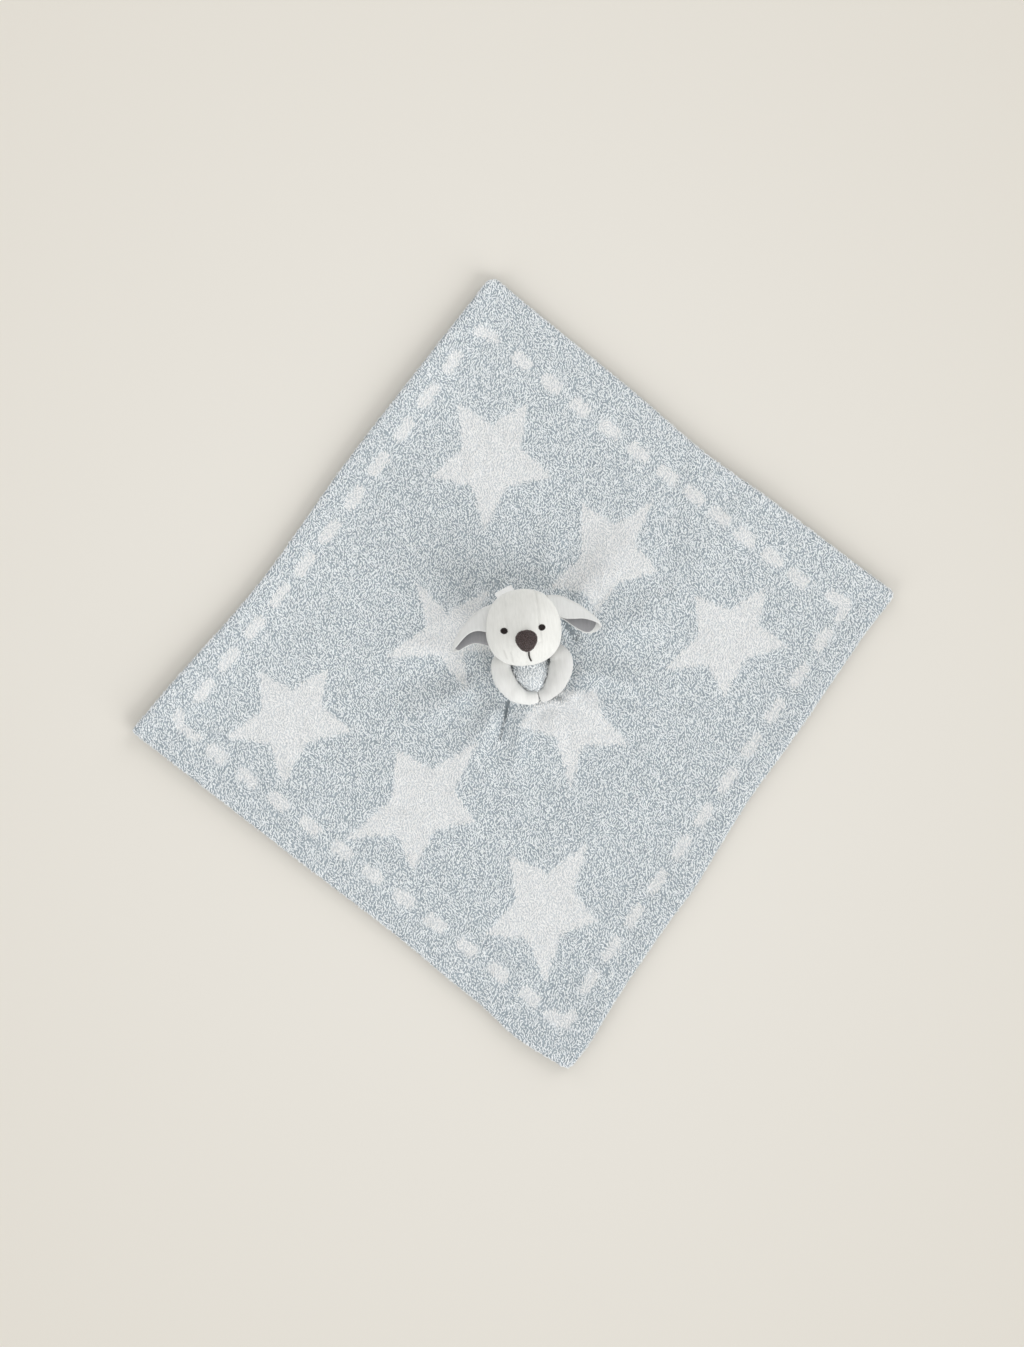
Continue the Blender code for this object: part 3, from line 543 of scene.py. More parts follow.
pressArea = (0.045, -0.055, 0.070)  # they touch the cloth within this half width, and between these two


def ceilingOver(spots):
    # height of what lies on the cloth over each spot, far up where nothing does
    x, y = spots[:, 0], spots[:, 1]
    heights = np.full(len(x), farUp)
    halfWidth, low, high = pressArea
    near = np.nonzero((np.abs(x) < halfWidth) & (y > low) & (y < high))[0]
    for i in near:
        hit = pressTree.ray_cast(Vector((x[i], y[i], -0.01)), Vector((0, 0, 1)))[0]
        if hit is not None:
            heights[i] = hit.z
    return heights


# blanket

blanket = {
    "side": 0.5,  # about how long each side is
    "corners": {"foot": (568, 1071), "left": (895, 591), "crown": (492, 273.5), "right": (130, 731)},
    "cornerRadius": {"foot": 0.0075, "left": 0.0055, "crown": 0.0095, "right": 0.0030},
    # how far the sides crown to left, crown to right, foot to right and foot to left curve in:
    # the depth of the bow, then dents as place along the side, width and depth, below nought for a bulge
    "sides": (
        (0.0036, ((0.46, 0.13, 0.0038),)),
        (0.0008, ((0.33, 0.19, 0.0072),)),
        (0, ((0.42, 0.10, 0.0009), (0.11, 0.07, -0.0056), (0.26, 0.07, -0.0014))),
        (0, ((0.57, 0.08, 0.0020), (0.38, 0.06, -0.0022), (0.98, 0.04, -0.0022), (0.06, 0.06, -0.0026))),
    ),
    "sideFade": 5, "cells": 190, "groundTop": 0.0039, "overhang": 0.0011, "groundUnder": 0.0005,
    "underRoughness": 0.0003, "thinnest": 0.0012, "rimDrop": 0.0010, "rimRise": 0.0004, "underInset": 0.0045,
    # how far the edges foot to right, right to crown, crown to left and foot to left stand off the floor,
    # and how far in that reaches
    "rimLift": (0.0046, 0.0066, 0.0060, 0.0038),
    "rimLiftReach": 0.030, "patternBlur": 0.0008, "flat": (0.519, 0.477), "area": 0.2474, "pressRoom": 0.0011,
    "creaseStart": (0.02, 0.05),  # the creases fade in between these distances from the neck
    "deepest": -0.0016,
    "stumpDrop": 0.0045,  # the gathered stump under the head, and how far out it ends in widths of the neck
    "stumpReach": 1.6,
}
gathers = {
    "height": 0.0062, "width": 0.012, "reach": 0.150, "rise": 0.16, "fall": 0.20,
    "clearing": (0.03675, 0.0633, 0.04275),  # half width, reach to the crown and to the hands
    "clearingFade": (1.04, 1.424),
    # direction in degrees, then start, end, height and width as shares
    "rows": (
        (-100, 0.22, 0.78, 1.00, 0.70),
        (-126, 0.22, 0.80, 0.95, 0.80),
        (-72, 0.22, 0.62, 0.60, 0.80),
        (-46, 0.22, 0.85, 0.80, 0.90),
        (-20, 0.24, 1.00, 0.95, 0.95),
        (12, 0.40, 1.05, 0.85, 1.10),
        (43, 0.40, 1.15, 0.80, 1.10),
        (72, 0.45, 0.95, 0.60, 1.00),
        (107, 0.42, 0.90, 0.60, 1.00),
        (136, 0.42, 1.05, 0.85, 1.15),
        (168, 0.40, 0.98, 0.80, 1.05),
        (-158, 0.26, 0.95, 0.85, 1.00),
    ),
}
# soft dents and ridges of the laid cloth: from pixel, to pixel, height and half width in mm
creases = (
    (508, 701, 505, 718, -3.4, 1.9),
    (505, 718, 500, 738, -2.5, 1.7),
    (550, 696, 560, 698, -2.9, 3.6),
    (564, 620, 575, 638, -2.9, 3.4),
    (529, 707, 573, 694, 3.0, 6.0),
    (560, 690, 650, 720, 1.6, 11.0),
    (663, 580, 683, 460, -1.5, 10.0),
    (700, 560, 757, 500, 1.2, 14.0),
    (383, 590, 403, 615, -1.3, 12.0),
    (443, 555, 470, 590, -1.2, 10.0),
    (643, 587, 612, 640, -1.4, 9.0),
    (603, 653, 640, 662, -1.3, 9.0),
    (623, 700, 600, 690, -1.2, 9.0),
    (397, 687, 440, 672, -1.2, 11.0),
    (577, 627, 600, 600, -1.2, 8.0),
    (330, 560, 440, 480, 1.0, 22.0),
    (560, 860, 640, 800, 0.9, 24.0),
    (300, 800, 420, 720, 0.9, 24.0),
)
shadedDent = -1.6  # dents deeper than this get painted shade
chest = {
    "height": 0.0192, "halfWidth": 0.0208, "halfLength": 0.0228, "x": 0.002, "y": -0.0125, "fullness": 0.55,
    "hollow": 0.5,
    "bulge": (0.001, -0.020, 0.020, 0.022),  # x, y, half width and half length of the part painted lighter: painted light
    "paintedLight": 0.6,
}


def clothPlan(u, v):
    # the laid outline: four corners, sides that wander a little, rounded corners
    p = np.stack((2 * u - 1, 2 * v - 1), -1)
    radius = blanket["cornerRadius"]
    nearFoot = np.where(u < 0.5, radius["foot"], radius["left"])
    nearCrown = np.where(u < 0.5, radius["right"], radius["crown"])
    corner = (2 * np.where(v < 0.5, nearFoot, nearCrown) / blanket["side"])[:, None]
    out = (np.abs(p) - (1 - corner)) / corner
    inCorner = (out > 0).all(-1)
    longest = out.max(-1, keepdims=True)
    rounded = out * longest / np.maximum(np.linalg.norm(out, axis=-1, keepdims=True), 1e-9)
    p = np.where(inCorner[:, None], np.sign(p) * (1 - corner + corner * rounded), p)
    u, v = (p[:, 0] + 1) / 2, (p[:, 1] + 1) / 2
    corners = traced([blanket["corners"][name] for name in ("foot", "left", "crown", "right")])
    middle = sum(corners) / 4
    foot, left, crown, right = corners - unit(corners - middle) * blanket["overhang"] * sqrt(2)
    place = (
        ((1 - u) * (1 - v))[:, None] * foot
        + (u * (1 - v))[:, None] * left
        + (u * v)[:, None] * crown
        + ((1 - u) * v)[:, None] * right
    )
    runs = ((left, crown, v, 1 - u), (right, crown, u, 1 - v), (foot, right, v, u), (foot, left, u, v))
    for (start, end, along, away), (bow, dents) in zip(runs, blanket["sides"]):
        depth = bow * np.sqrt(np.sin(pi * along))
        for at, width, dent in dents:
            depth = depth + dent * bell(along, width, at)
        side = unit(end - start)
        inward = np.array((-side[1], side[0]))
        inward *= np.sign(inward @ (middle - start))
        place = place + (depth * np.clip(1 - away, 0, 1) ** blanket["sideFade"])[:, None] * inward
    return place


def gatherLift(x, y):
    lift = np.zeros_like(x)
    for turn, start, end, height, width in gathers["rows"]:
        c, s = cos(radians(turn)), sin(radians(turn))
        along = (x * c + y * s) / gathers["reach"]
        across = x * s - y * c
        wide = gathers["width"] * width * (0.6 + 0.7 * np.maximum(along, 0.1))
        rise = smoothStep(start, start + gathers["rise"], along)
        rise = rise * (1 - smoothStep(start + gathers["fall"], end, along))
        lift += gathers["height"] * height * rise * bell(across, wide)
    halfWidth, crown, hands = gathers["clearing"]
    edge = np.hypot(x / halfWidth, (y - (crown - hands) / 2) / ((crown + hands) / 2))
    return lift * smoothStep(*gathers["clearingFade"], edge)


def rimLift(u, v):
    reach = blanket["rimLiftReach"] / blanket["side"]
    near = [height * bell(away, reach) for height, away in zip(blanket["rimLift"], (u, 1 - v, 1 - u, v))]
    return np.max(near, axis=0) * (1 + 0.25 * np.sin(9 * u + 1) * np.cos(7 * v + 0.4))


def creaseLift(spots):
    # how far the creases lift the cloth, and how much painted shade they get
    lift, shade = np.zeros(len(spots)), np.zeros(len(spots))
    for *line, height, width in creases:
        near = bell(offLine(spots[:, :2], *line), width * mm)
        lift += height * mm * near
        shade += max(0.0, shadedDent - height) * 0.5 * near
    return lift, shade


def neckDistance(x, y):
    # 1 on the line of the neck seam
    ring = pointsOf(frame["nodes"]["neck_seam"].data)
    front, back = ring[:, 1].min(), ring[:, 1].max()
    return np.hypot(x / ring[:, 0].max(), (y - (front + back) / 2) / ((back - front) / 2))


def clothHeights(spots, raised):
    # top of the knitted ground and its underside
    x, y = spots.T
    creased = creaseLift(spots)[0] * smoothStep(*blanket["creaseStart"], np.hypot(x, y))
    lift = np.maximum(gatherLift(x, y) + creased, blanket["deepest"])
    off = ((x - chest["x"]) / chest["halfWidth"]) ** 2 + ((y - chest["y"]) / chest["halfLength"]) ** 2
    rise = chest["height"] * np.maximum(0, 1 - off) ** chest["fullness"]
    ceiling = ceilingOver(spots)
    under = ceiling < farUp
    gathered = 1 - smoothStep(1, blanket["stumpReach"], neckDistance(x, y))
    rise = np.maximum(rise, np.where(under, (ceiling - blanket["stumpDrop"]) * gathered, 0))
    top = blanket["groundTop"] + lift + rise + raised
    top = np.where(under, np.minimum(top, ceiling - blanket["pressRoom"]), top)
    low = np.maximum(lift, 0) + rise * chest["hollow"] + raised + blanket["groundUnder"]
    return top, np.minimum(low, top - blanket["thinnest"])


def bilinear(grid, u, v):
    cells = grid.shape[0] - 1
    a, b = np.clip(u, 0, 1) * cells, np.clip(v, 0, 1) * cells
    i, j = np.minimum(a.astype(int), cells - 1), np.minimum(b.astype(int), cells - 1)
    s, t = (a - i)[:, None], (b - j)[:, None]
    near = grid[j, i] * (1 - s) * (1 - t) + grid[j, i + 1] * s * (1 - t)
    return near + grid[j + 1, i] * (1 - s) * t + grid[j + 1, i + 1] * s * t


# pattern: stars as ten corners each, and a row of dashes inside the edge, in pixels of the photograph

starTips = (
    (458, 403, 528, 402, 552, 477, 485, 530, 430, 477),
    (695, 595, 768, 585, 789, 646, 725, 697, 663, 670),
    (259, 672, 329, 667, 353, 731, 284, 785, 226, 737),
    (397, 749, 478, 742, 475, 822, 413, 872, 346, 839),
    (509, 855, 587, 844, 598, 921, 546, 984, 484, 935),
)
gatheredStars = (
    (582, 503, 615, 525, 653, 500, 635, 543, 658, 571, 618, 583, 597, 614, 583, 591, 550, 587, 581, 556),
    (415, 580, 447, 612, 489, 589, 476, 622, 499, 652, 463, 651, 468, 693, 437, 655, 384, 658, 428, 626),
    (519, 726, 541, 697, 562, 690, 572, 691, 597, 692, 602, 716, 631, 745, 583, 746, 570, 791, 556, 738),
)
# dashes of the border: first, middle and last centre of each side, then the length and width of a dash in mm
dashRows = (
    (522, 361, 668, 475, 798, 578, 21.5, 12),
    (453, 362, 330, 532, 204, 691, 25, 10.5),
    (823, 640, 704, 815, 589, 982, 25, 10.5),
    (530, 997, 373, 874, 216, 754, 21.5, 12),
)
dashesPerSide = 11
starWaist = 0.60  # how far out the corners between two tips lie, as a share
# the corners of the border, as outlines in pixels
cornerDashes = (
    (470, 334, 478, 325, 488, 328, 502, 339, 498, 345, 484, 338),
    (172, 718, 180, 707, 185, 713, 185, 725, 203, 737, 195, 742, 180, 730),
    (824, 593, 831, 588, 851, 600, 851, 607, 841, 624, 833, 620, 839, 608, 828, 601),
    (543, 1012, 552, 1009, 563, 1016, 573, 1008, 579, 1013, 569, 1028, 561, 1028, 545, 1019),
)


def starOutline(tips):
    tips = traced(tips)
    middle = tips.mean(0)
    notches = middle + ((tips + np.roll(tips, -1, axis=0)) / 2 - middle) * starWaist
    return np.stack((tips, notches), 1).reshape(-1, 2)


def whiteShare(spots):
    # 1 where the knitted pattern is white
    white = np.zeros(len(spots), bool)
    outlines = [starOutline(tips) for tips in starTips]
    for outline in outlines + [traced(drawn) for drawn in (*gatheredStars, *cornerDashes)]:
        white |= insideShape(spots, outline)
    for *line, length, width in dashRows:
        line = traced(line)
        side = unit(line[2] - line[0])
        places = np.linspace(0, 2, dashesPerSide)
        for x, y in zip(*(np.interp(places, (0, 1, 2), line[:, axis]) for axis in (0, 1))):
            off = (spots - (x, y)) / mm
            along, across = off @ side, off @ (-side[1], side[0])
            white |= (along / (length / 2)) ** 4 + (across / (width / 2)) ** 4 < 1
    return white.astype(float)


def chestShare(spots):
    # 1 on the cloth that bulges between the arms, where painted light makes it lighter
    x, y, halfWidth, halfLength = chest["bulge"]
    return bell(((spots[:, 0] - x) / halfWidth) ** 2 + ((spots[:, 1] - y) / halfLength) ** 2, 1)


def makeBlanket():
    n = blanket["cells"] + 1
    share = np.linspace(0, 1, n)
    u, v = (part.ravel() for part in np.meshgrid(share, share))
    plan = clothPlan(u, v)
    top, low = clothHeights(plan, rimLift(u, v))
    rng = np.random.default_rng(3)
    rim = (u == 0) | (u == 1) | (v == 0) | (v == 1)
    top = np.where(rim, top - blanket["rimDrop"], top)
    rough = blanket["underRoughness"]
    low = np.where(rim, low + blanket["rimRise"], low + rng.uniform(-rough, rough, len(low)))
    low = np.maximum(low, floorGap)
    count = len(u)
    inset = 1 - 2 * blanket["underInset"] / blanket["side"]
    under = clothPlan(0.5 + (u - 0.5) * inset, 0.5 + (v - 0.5) * inset)
    points = np.vstack((np.column_stack((plan, top)), np.column_stack((under, low))))
    faces = np.array(gridFaces(n, n))
    faces = faces.tolist() + (faces[:, ::-1] + count).tolist()
    edge = [*range(0, n), *range(2 * n - 1, n * n, n)]
    edge += [*range(n * n - 2, n * n - n - 1, -1), *range(n * n - 2 * n, 0, -n)]
    for a, b in zip(edge, edge[1:] + edge[:1]):
        faces.append([b, a, a + count, b + count])
    made = makeMesh("blanket_ground", points, faces, chenilleGround, tidyNormals=False)
    tone = whiteShare(points[:, :2] + rng.normal(0, blanket["patternBlur"], (len(points), 2)))
    # the underside is knitted in the other colour
    tone[count:] = np.where(rim, tone[:count], 1 - tone[count:])
    # painted light: the ground on the chest, between the arms, is painted whiter
    tone = np.maximum(tone, chestShare(points) * chest["paintedLight"])
    addNumbers(made, "tone", tone)
    # painted shade in the creases, for the ground's finish
    addNumbers(made, "fold", np.clip(creaseLift(points)[1], 0, 1))
    return made, np.column_stack((plan, top)).reshape(n, n, 3)


blanketGround, clothGrid = makeBlanket()
print("blanket ground is laid")

pile = {
    "counts": (324, 252),  # yarns each way
    "shuffle": 0.45,
    "edge": 0.001,  # share of the side that stays free at the rim
    "yarn": dict(zip(yarnSizes, (0.0035, 0.0016, 0.0013, 0.2, 4, 2, 11))), "flatness": 0.5,
    "heading": 92,  # degrees from the cloth's X, and how far the yarns stray from it
    "stray": 34,
    "clumps": 109,  # neighbours lean, lie and stand alike in this many clumps each way
    "clumpShift": 0.0004, "clumpHeight": 0.14, "patchesPerSide": 4, "toneNoise": 0.07,
    "openCrease": 0.7,  # no yarns where the creases' painted shade is more than this
    "squeezeRoom": 0.0002,
    "besideArms": 0.0024,  # yarns of the chest this close to the arms rise to meet them
    # chestLight and rimLight are painted light on the chest's and the rim's yarns
    "besideRise": 0.0022, "chestLight": 0.8, "rimYarns": 263, "rimFray": 0.0004, "rimLight": 0.08,
    "rimRows": ((0.0000, 0.0004, 0.70), (0.0009, 0.0002, 0.10), (0.0018, 0.0010, -0.20)),  # drop, inset and lean up
}


def onCloth(share):
    return np.clip(share, pile["edge"], 1 - pile["edge"])


def makePile():
    yarn = pile["yarn"]
    rng = np.random.default_rng(yarn["seed"])
    counts = pile["counts"]
    u, v = (part.ravel() for part in np.meshgrid(*[(np.arange(count) + 0.5) / count for count in counts]))
    u = onCloth(u + rng.uniform(-1, 1, len(u)) * pile["shuffle"] / counts[0])
    v = onCloth(v + rng.uniform(-1, 1, len(v)) * pile["shuffle"] / counts[1])
    clump = bilinear(rng.normal(0, 1.5, (pile["clumps"], pile["clumps"], 4)), u, v)
    u = onCloth(u + clump[:, 0] * pile["clumpShift"] / blanket["side"])
    v = onCloth(v + clump[:, 1] * pile["clumpShift"] / blanket["side"])
    tall = np.clip(1 + pile["clumpHeight"] * clump[:, 2], 0.6, 1.5)
    normals = unit(np.cross(np.gradient(clothGrid, axis=1), np.gradient(clothGrid, axis=0)))
    points = bilinear(clothGrid, u, v)
    ups = unit(bilinear(normals, u, v))
    heading = np.radians(pile["heading"] + (0.7 * rng.normal(0, 1, len(u)) + 0.7 * clump[:, 3]) * pile["stray"])
    along = np.column_stack((np.cos(heading), np.sin(heading), np.zeros(len(u))))
    light = np.zeros(len(u))
    # more rows lean out round the rim
    ring = np.linspace(0, 1, pile["rimYarns"], endpoint=False)
    for drop, tuck, lean in pile["rimRows"]:
        for side in range(4):
            s = ring + rng.uniform(-0.3, 0.3, len(ring)) / len(ring)
            zero, one = np.zeros_like(s), np.ones_like(s)
            a, b = ((s, zero), (one, s), (s, one), (zero, s))[side]
            edge = bilinear(clothGrid, a, b)
            inner = bilinear(clothGrid, a * 0.97 + 0.015, b * 0.97 + 0.015)
            outward = unit(np.column_stack(((edge - inner)[:, :2], zero)))
            sideways = np.column_stack((-outward[:, 1], outward[:, 0], rng.normal(0, 0.3, len(s))))
            u, v = np.concatenate((u, a)), np.concatenate((v, b))
            inset = tuck + rng.normal(0, pile["rimFray"], (len(s), 1))
            points = np.vstack((points, edge - outward * inset - (0, 0, drop)))
            ups = np.vstack((ups, unit(outward + (0, 0, lean))))
            along = np.vstack((along, sideways))
            # painted light: the rim's yarns are painted lighter
            light = np.concatenate((light, one * pile["rimLight"]))
            tall = np.concatenate((tall, one))
    tone = whiteShare(points[:, :2] + rng.normal(0, blanket["patternBlur"], (len(points), 2)))
    onChest = chestShare(points)
    tone = np.clip(tone + rng.normal(0, pile["toneNoise"], len(tone)), 0, 1)
    # yarns of the chest close the gap to the arms beside them
    chestYarns = np.nonzero((onChest > 0.2) & (ceilingOver(points) == farUp))[0]
    beside = np.zeros(len(chestYarns), bool)
    for turn in turns(8):
        off = np.array((cos(turn), sin(turn))) * pile["besideArms"]
        beside |= ceilingOver(points[chestYarns, :2] + off) < farUp
    points[chestYarns[beside], 2] += pile["besideRise"]
    # yarns under the head and the arms are pressed flat
    full = (yarn["height"] + yarn["thickness"] / 2) * pile["flatness"] * tall
    room = (ceilingOver(points) - points[:, 2] - pile["squeezeRoom"]) / full
    squeeze = np.clip(room, 0.3, 1)
    spread = 1 + 0.2 * (1 - squeeze)
    stretch = np.column_stack((spread * rng.uniform(0.75, 1.2, len(points)), spread, squeeze * tall * pile["flatness"]))
    crease = creaseLift(points)[1]
    shade = np.clip(rng.normal(0.6, 0.2, len(points)), 0.2, 1)
    # each yarn's random tone, plus painted light on the rim and the chest, less painted shade in the creases
    shade = np.clip(shade + light + onChest * pile["chestLight"] - crease, 0, 1.5)
    n = pile["patchesPerSide"]
    patch = np.clip((u * n).astype(int), 0, n - 1) + n * np.clip((v * n).astype(int), 0, n - 1)
    pieces = []
    for k in range(n * n):
        mine = (patch == k) & (crease < pile["openCrease"])
        numbers = {"tone": tone[mine], "shade": shade[mine]}
        name = f"blanket_pile_{k + 1}"
        piece = grown(name, points[mine], ups[mine], along[mine], stretch[mine], yarn, chenillePile, numbers)
        co = pointsOf(piece.data) + neckPlace
        co[:, 2] = np.maximum(co[:, 2], floorGap)
        piece.data.vertices.foreach_set("co", co.astype(np.float32).ravel())
        pieces.append(piece)
    return pieces


pilePieces = makePile()
print("pile is grown:", sum(len(piece.data.polygons) for piece in pilePieces), "faces")


# stuffing: a cloth simulation that swells a skin between its pinned seams

clothSettings = {
    "vertex_group_mass": "seam", "use_pressure": True, "uniform_pressure_force": 4.0, "tension_stiffness": 8,
    "compression_stiffness": 8, "bending_stiffness": 1.5, "mass": 0.2, "quality": 6,
}
stuffing = {
    "frames": 20,
    "neighbours": 6,  # points of the coarse skin that move each point of the fine one
    "softening": 0.0008,
}


def swell(points, faces, pinned, cap):
    # how far each point moves when the skin is stuffed
    skin = makeMesh("skin", points, faces, tidyNormals=False)
    seam = skin.vertex_groups.new(name="seam")
    seam.add(np.nonzero(pinned)[0].tolist(), 1.0, "REPLACE")
    cloth = skin.modifiers.new("stuffing", "CLOTH")
    for name, value in clothSettings.items():
        setattr(cloth.settings, name, value)
    cloth.settings.effector_weights.gravity = 0
    cloth.collision_settings.use_self_collision = False
    cloth.point_cache.frame_start = 1
    cloth.point_cache.frame_end = stuffing["frames"]
    for step in range(1, stuffing["frames"] + 1):
        bpy.context.scene.frame_set(step)
    moved = pointsOf(bakedMesh(skin)) - points
    bpy.context.scene.frame_set(1)
    longest = np.linalg.norm(moved, axis=1, keepdims=True)
    return moved * np.minimum(1, cap / np.maximum(longest, 1e-9))


def carried(finePoints, coarsePoints, moves):
    # the coarse skin's moves, shared out to a finer mesh
    tree = KDTree(len(coarsePoints))
    for i, point in enumerate(coarsePoints):
        tree.insert(point, i)
    tree.balance()
    result = np.zeros_like(finePoints)
    for i, point in enumerate(finePoints):
        found = tree.find_n(point, stuffing["neighbours"])
        weights = np.array([1 / (distance + stuffing["softening"]) ** 2 for _, _, distance in found])
        result[i] = weights @ moves[[index for _, index, _ in found]] / weights.sum()
    return result


# head

head = {
    "width": 0.0688, "length": 0.0698, "front": 0.024, "back": 0.026, "centre": np.array((0.0, 0.0284, 0.0365)),
    "squareness": 2.25, "cheek": 0.035, "muzzleRise": 0.0085, "muzzleRadius": 0.0165, "muzzle": (0.0014, -0.0127),
    "seamSide": 24.7,  # degrees from the middle of the head to each long seam, then where they end
    "napeTurn": 230, "noseTurn": 118, "seamDepth": 0.0007, "seamWidth": 0.0008, "seamShadeWidth": 0.0009,
    "pinnedWidth": 0.0016, "skinInset": 0.0006, "fineness": 6, "coarseness": 4, "swellCap": 0.0011,
}
puckers = ((504, 651, 507, 659), (511, 653, 513, 662), (560, 655, 556, 661))
puckerWidth = 0.0007
eyes = {
    "places": {"left": (0.0160, -0.0020), "right": (-0.0174, -0.0018)},
    "lean": {"left": 0.12, "right": -0.20},
    "size": 0.0064, "sink": 0.0006, "sinkWidth": 0.0042, "strands": 11, "dome": 0.0011, "thread": 0.00075,
}


def headSurface(d, inset=0.0):
    across, along, up = d[:, 0], d[:, 1], d[:, 2]
    flat = np.maximum(np.hypot(across, along), 1e-9)
    power = head["squareness"]
    fullness = np.maximum(np.abs(across / flat) ** power + np.abs(along / flat) ** power, 0.5) ** (-1 / power)
    x = head["width"] / 2 * across * fullness * (1 - head["cheek"] * along)
    y = head["length"] / 2 * along * fullness
    z = np.where(up > 0, head["front"], head["back"]) * up
    off = np.hypot(x - head["muzzle"][0], y - head["muzzle"][1]) / head["muzzleRadius"]
    z = z + head["muzzleRise"] * bell(off, 1) * smoothStep(0, 0.4, up)
    point = np.column_stack((x, y, z))
    return head["centre"] + point * (1 - inset / np.linalg.norm(point, axis=1, keepdims=True))


def seamDistance(d):
    # how far, in metres, each direction lies from the nearest seam of the head
    side = np.degrees(np.arcsin(np.clip(d[:, 0], -1, 1)))
    turn = np.degrees(np.arctan2(d[:, 2], d[:, 1])) % 360
    reach = radians(1) * head["width"] / 2
    past = np.where((turn > head["noseTurn"]) & (turn < head["napeTurn"]), 1, 0)
    toEnd = np.minimum(np.abs(turn - head["noseTurn"]), np.abs(turn - head["napeTurn"]))
    gusset = np.hypot(np.abs(side) - head["seamSide"], past * toEnd) * reach
    chin = np.hypot(side, (1 - past) * toEnd) * reach
    ends = np.hypot(np.maximum(np.abs(side) - head["seamSide"], 0), toEnd) * reach
    return np.minimum(gusset, np.minimum(chin, ends))


def ballMesh(subdivisions):
    edit = bmesh.new()
    bmesh.ops.create_icosphere(edit, subdivisions=subdivisions, radius=1)
    points = np.array([vert.co[:] for vert in edit.verts])
    faces = [[vert.index for vert in face.verts] for face in edit.faces]
    edit.free()
    return unit(points), faces


def makeHead():
    coarse, coarseFaces = ballMesh(head["coarseness"])
    skin = headSurface(coarse, head["skinInset"])
    moves = swell(skin, coarseFaces, seamDistance(coarse) < head["pinnedWidth"], head["swellCap"])
    fine, faces = ballMesh(head["fineness"])
    points = headSurface(fine, head["skinInset"])
    outward = unit(points - head["centre"])
    points += carried(points, skin, moves)
    away = seamDistance(fine)
    # the seam on the picture's left is sewn less deeply
    depth = head["seamDepth"] * np.where(fine[:, 0] > 0, 1, 0.35)
    points -= outward * (depth * bell(away, head["seamWidth"]))[:, None]
    for x, y in eyes["places"].values():
        off = np.hypot(points[:, 0] - x, points[:, 1] - head["centre"][1] - y)
        points[:, 2] -= eyes["sink"] * bell(off, eyes["sinkWidth"]) * (fine[:, 2] > 0)
    # painted shade darkens the sewn lines and small tucks over the chin
    seam = bell(away, head["seamShadeWidth"]) * np.where(fine[:, 0] > 0, 0.22, 0.1)
    for line in puckers:
        seam += 0.5 * bell(offLine(points[:, :2], *line), puckerWidth) * (fine[:, 2] > 0)
    made = makeMesh("head_padded", points, faces, headPlush, tidyNormals=False)
    addNumbers(made, "seam", np.clip(seam, 0, 1))
    return made


headPiece = makeHead()
headTree = treeOf(headPiece.data)
print("head is stuffed")


def seenOn(tree, x, y):
    # place and outward normal of what shows from above; x and y are measured from the head's centre
    return tree.ray_cast(Vector((x, head["centre"][1] + y, 0.2)), Vector((0, 0, -1)))[:2]


def onFace(x, y):
    place, normal = seenOn(headTree, x, y)
    return np.array(place), np.array(normal)


padEdge = {"sink": 0.0006, "rounding": 2.2}


def padOnFace(name, centre, outline, height, finish, rings=18, sides=72):
    # a domed pad that follows the face, closed underneath
    shares = [*np.sin(np.linspace(0.06, 0.5, rings) * pi), 1.0]
    rows = []
    for k, share in enumerate(shares):
        row = []
        for angle in turns(sides):
            off = outline(angle) * share
            place, normal = onFace(centre[0] + off[0], centre[1] + off[1])
            crown = height * max(0.0, 1 - share ** padEdge["rounding"]) ** 0.5
            row.append(place + normal * (crown if k < rings else -padEdge["sink"]))
        rows.append(row)
    place, normal = onFace(*centre)
    return makeTube(name, rows, finish, (place + normal * height, place - normal * padEdge["sink"]))


# eyes: satin stitches side by side over a small dome


def makeEye(side):
    name = f"eye_{side}_stitching"
    centre = eyes["places"][side]
    radius = eyes["size"] / 2

    def outline(angle):
        return np.array((cos(angle), sin(angle))) * radius * 0.9

    base = padOnFace(name + "_dome", centre, outline, eyes["dome"] * 0.75, darkThread, 8, 32)
    points, ups, along, stretch = [], [], [], []
    for share in np.linspace(-0.9, 0.9, eyes["strands"]):
        chord = sqrt(1 - share**2) * radius * 2
        place, normal = onFace(centre[0] + share * radius, centre[1])
        points.append(place)
        ups.append(normal)
        along.append((eyes["lean"][side], 1.0, 0.0))
        stretch.append((chord / eyes["size"], 1, max(0.55, sqrt(1 - share**2))))
    yarn = dict(zip(yarnSizes, (eyes["size"] * 1.25, eyes["dome"], eyes["thread"], 0.03, 8, 10, 5)))
    return joined(name, base, grown(name + "_strands", points, ups, along, stretch, yarn, darkThread))


# nose: a plush pad with its own short nap

nose = {
    "width": 0.0188, "length": 0.0190, "height": 0.0042, "x": 0.0014, "y": -0.0127, "top": 0.07, "corner": 0.05,
    "yarn": dict(zip(yarnSizes, (0.0012, 0.0006, 0.00042, 0.2, 4, 3, 7))), "yarns": 1500, "napDepth": 0.0007,
    "rootDepth": 0.0001,
}


def noseOutline(angle):
    narrow = 1 + nose["top"] * sin(angle) + nose["corner"] * sin(3 * angle)
    return np.array((cos(angle) * nose["width"] / 2, sin(angle) * nose["length"] / 2)) * narrow


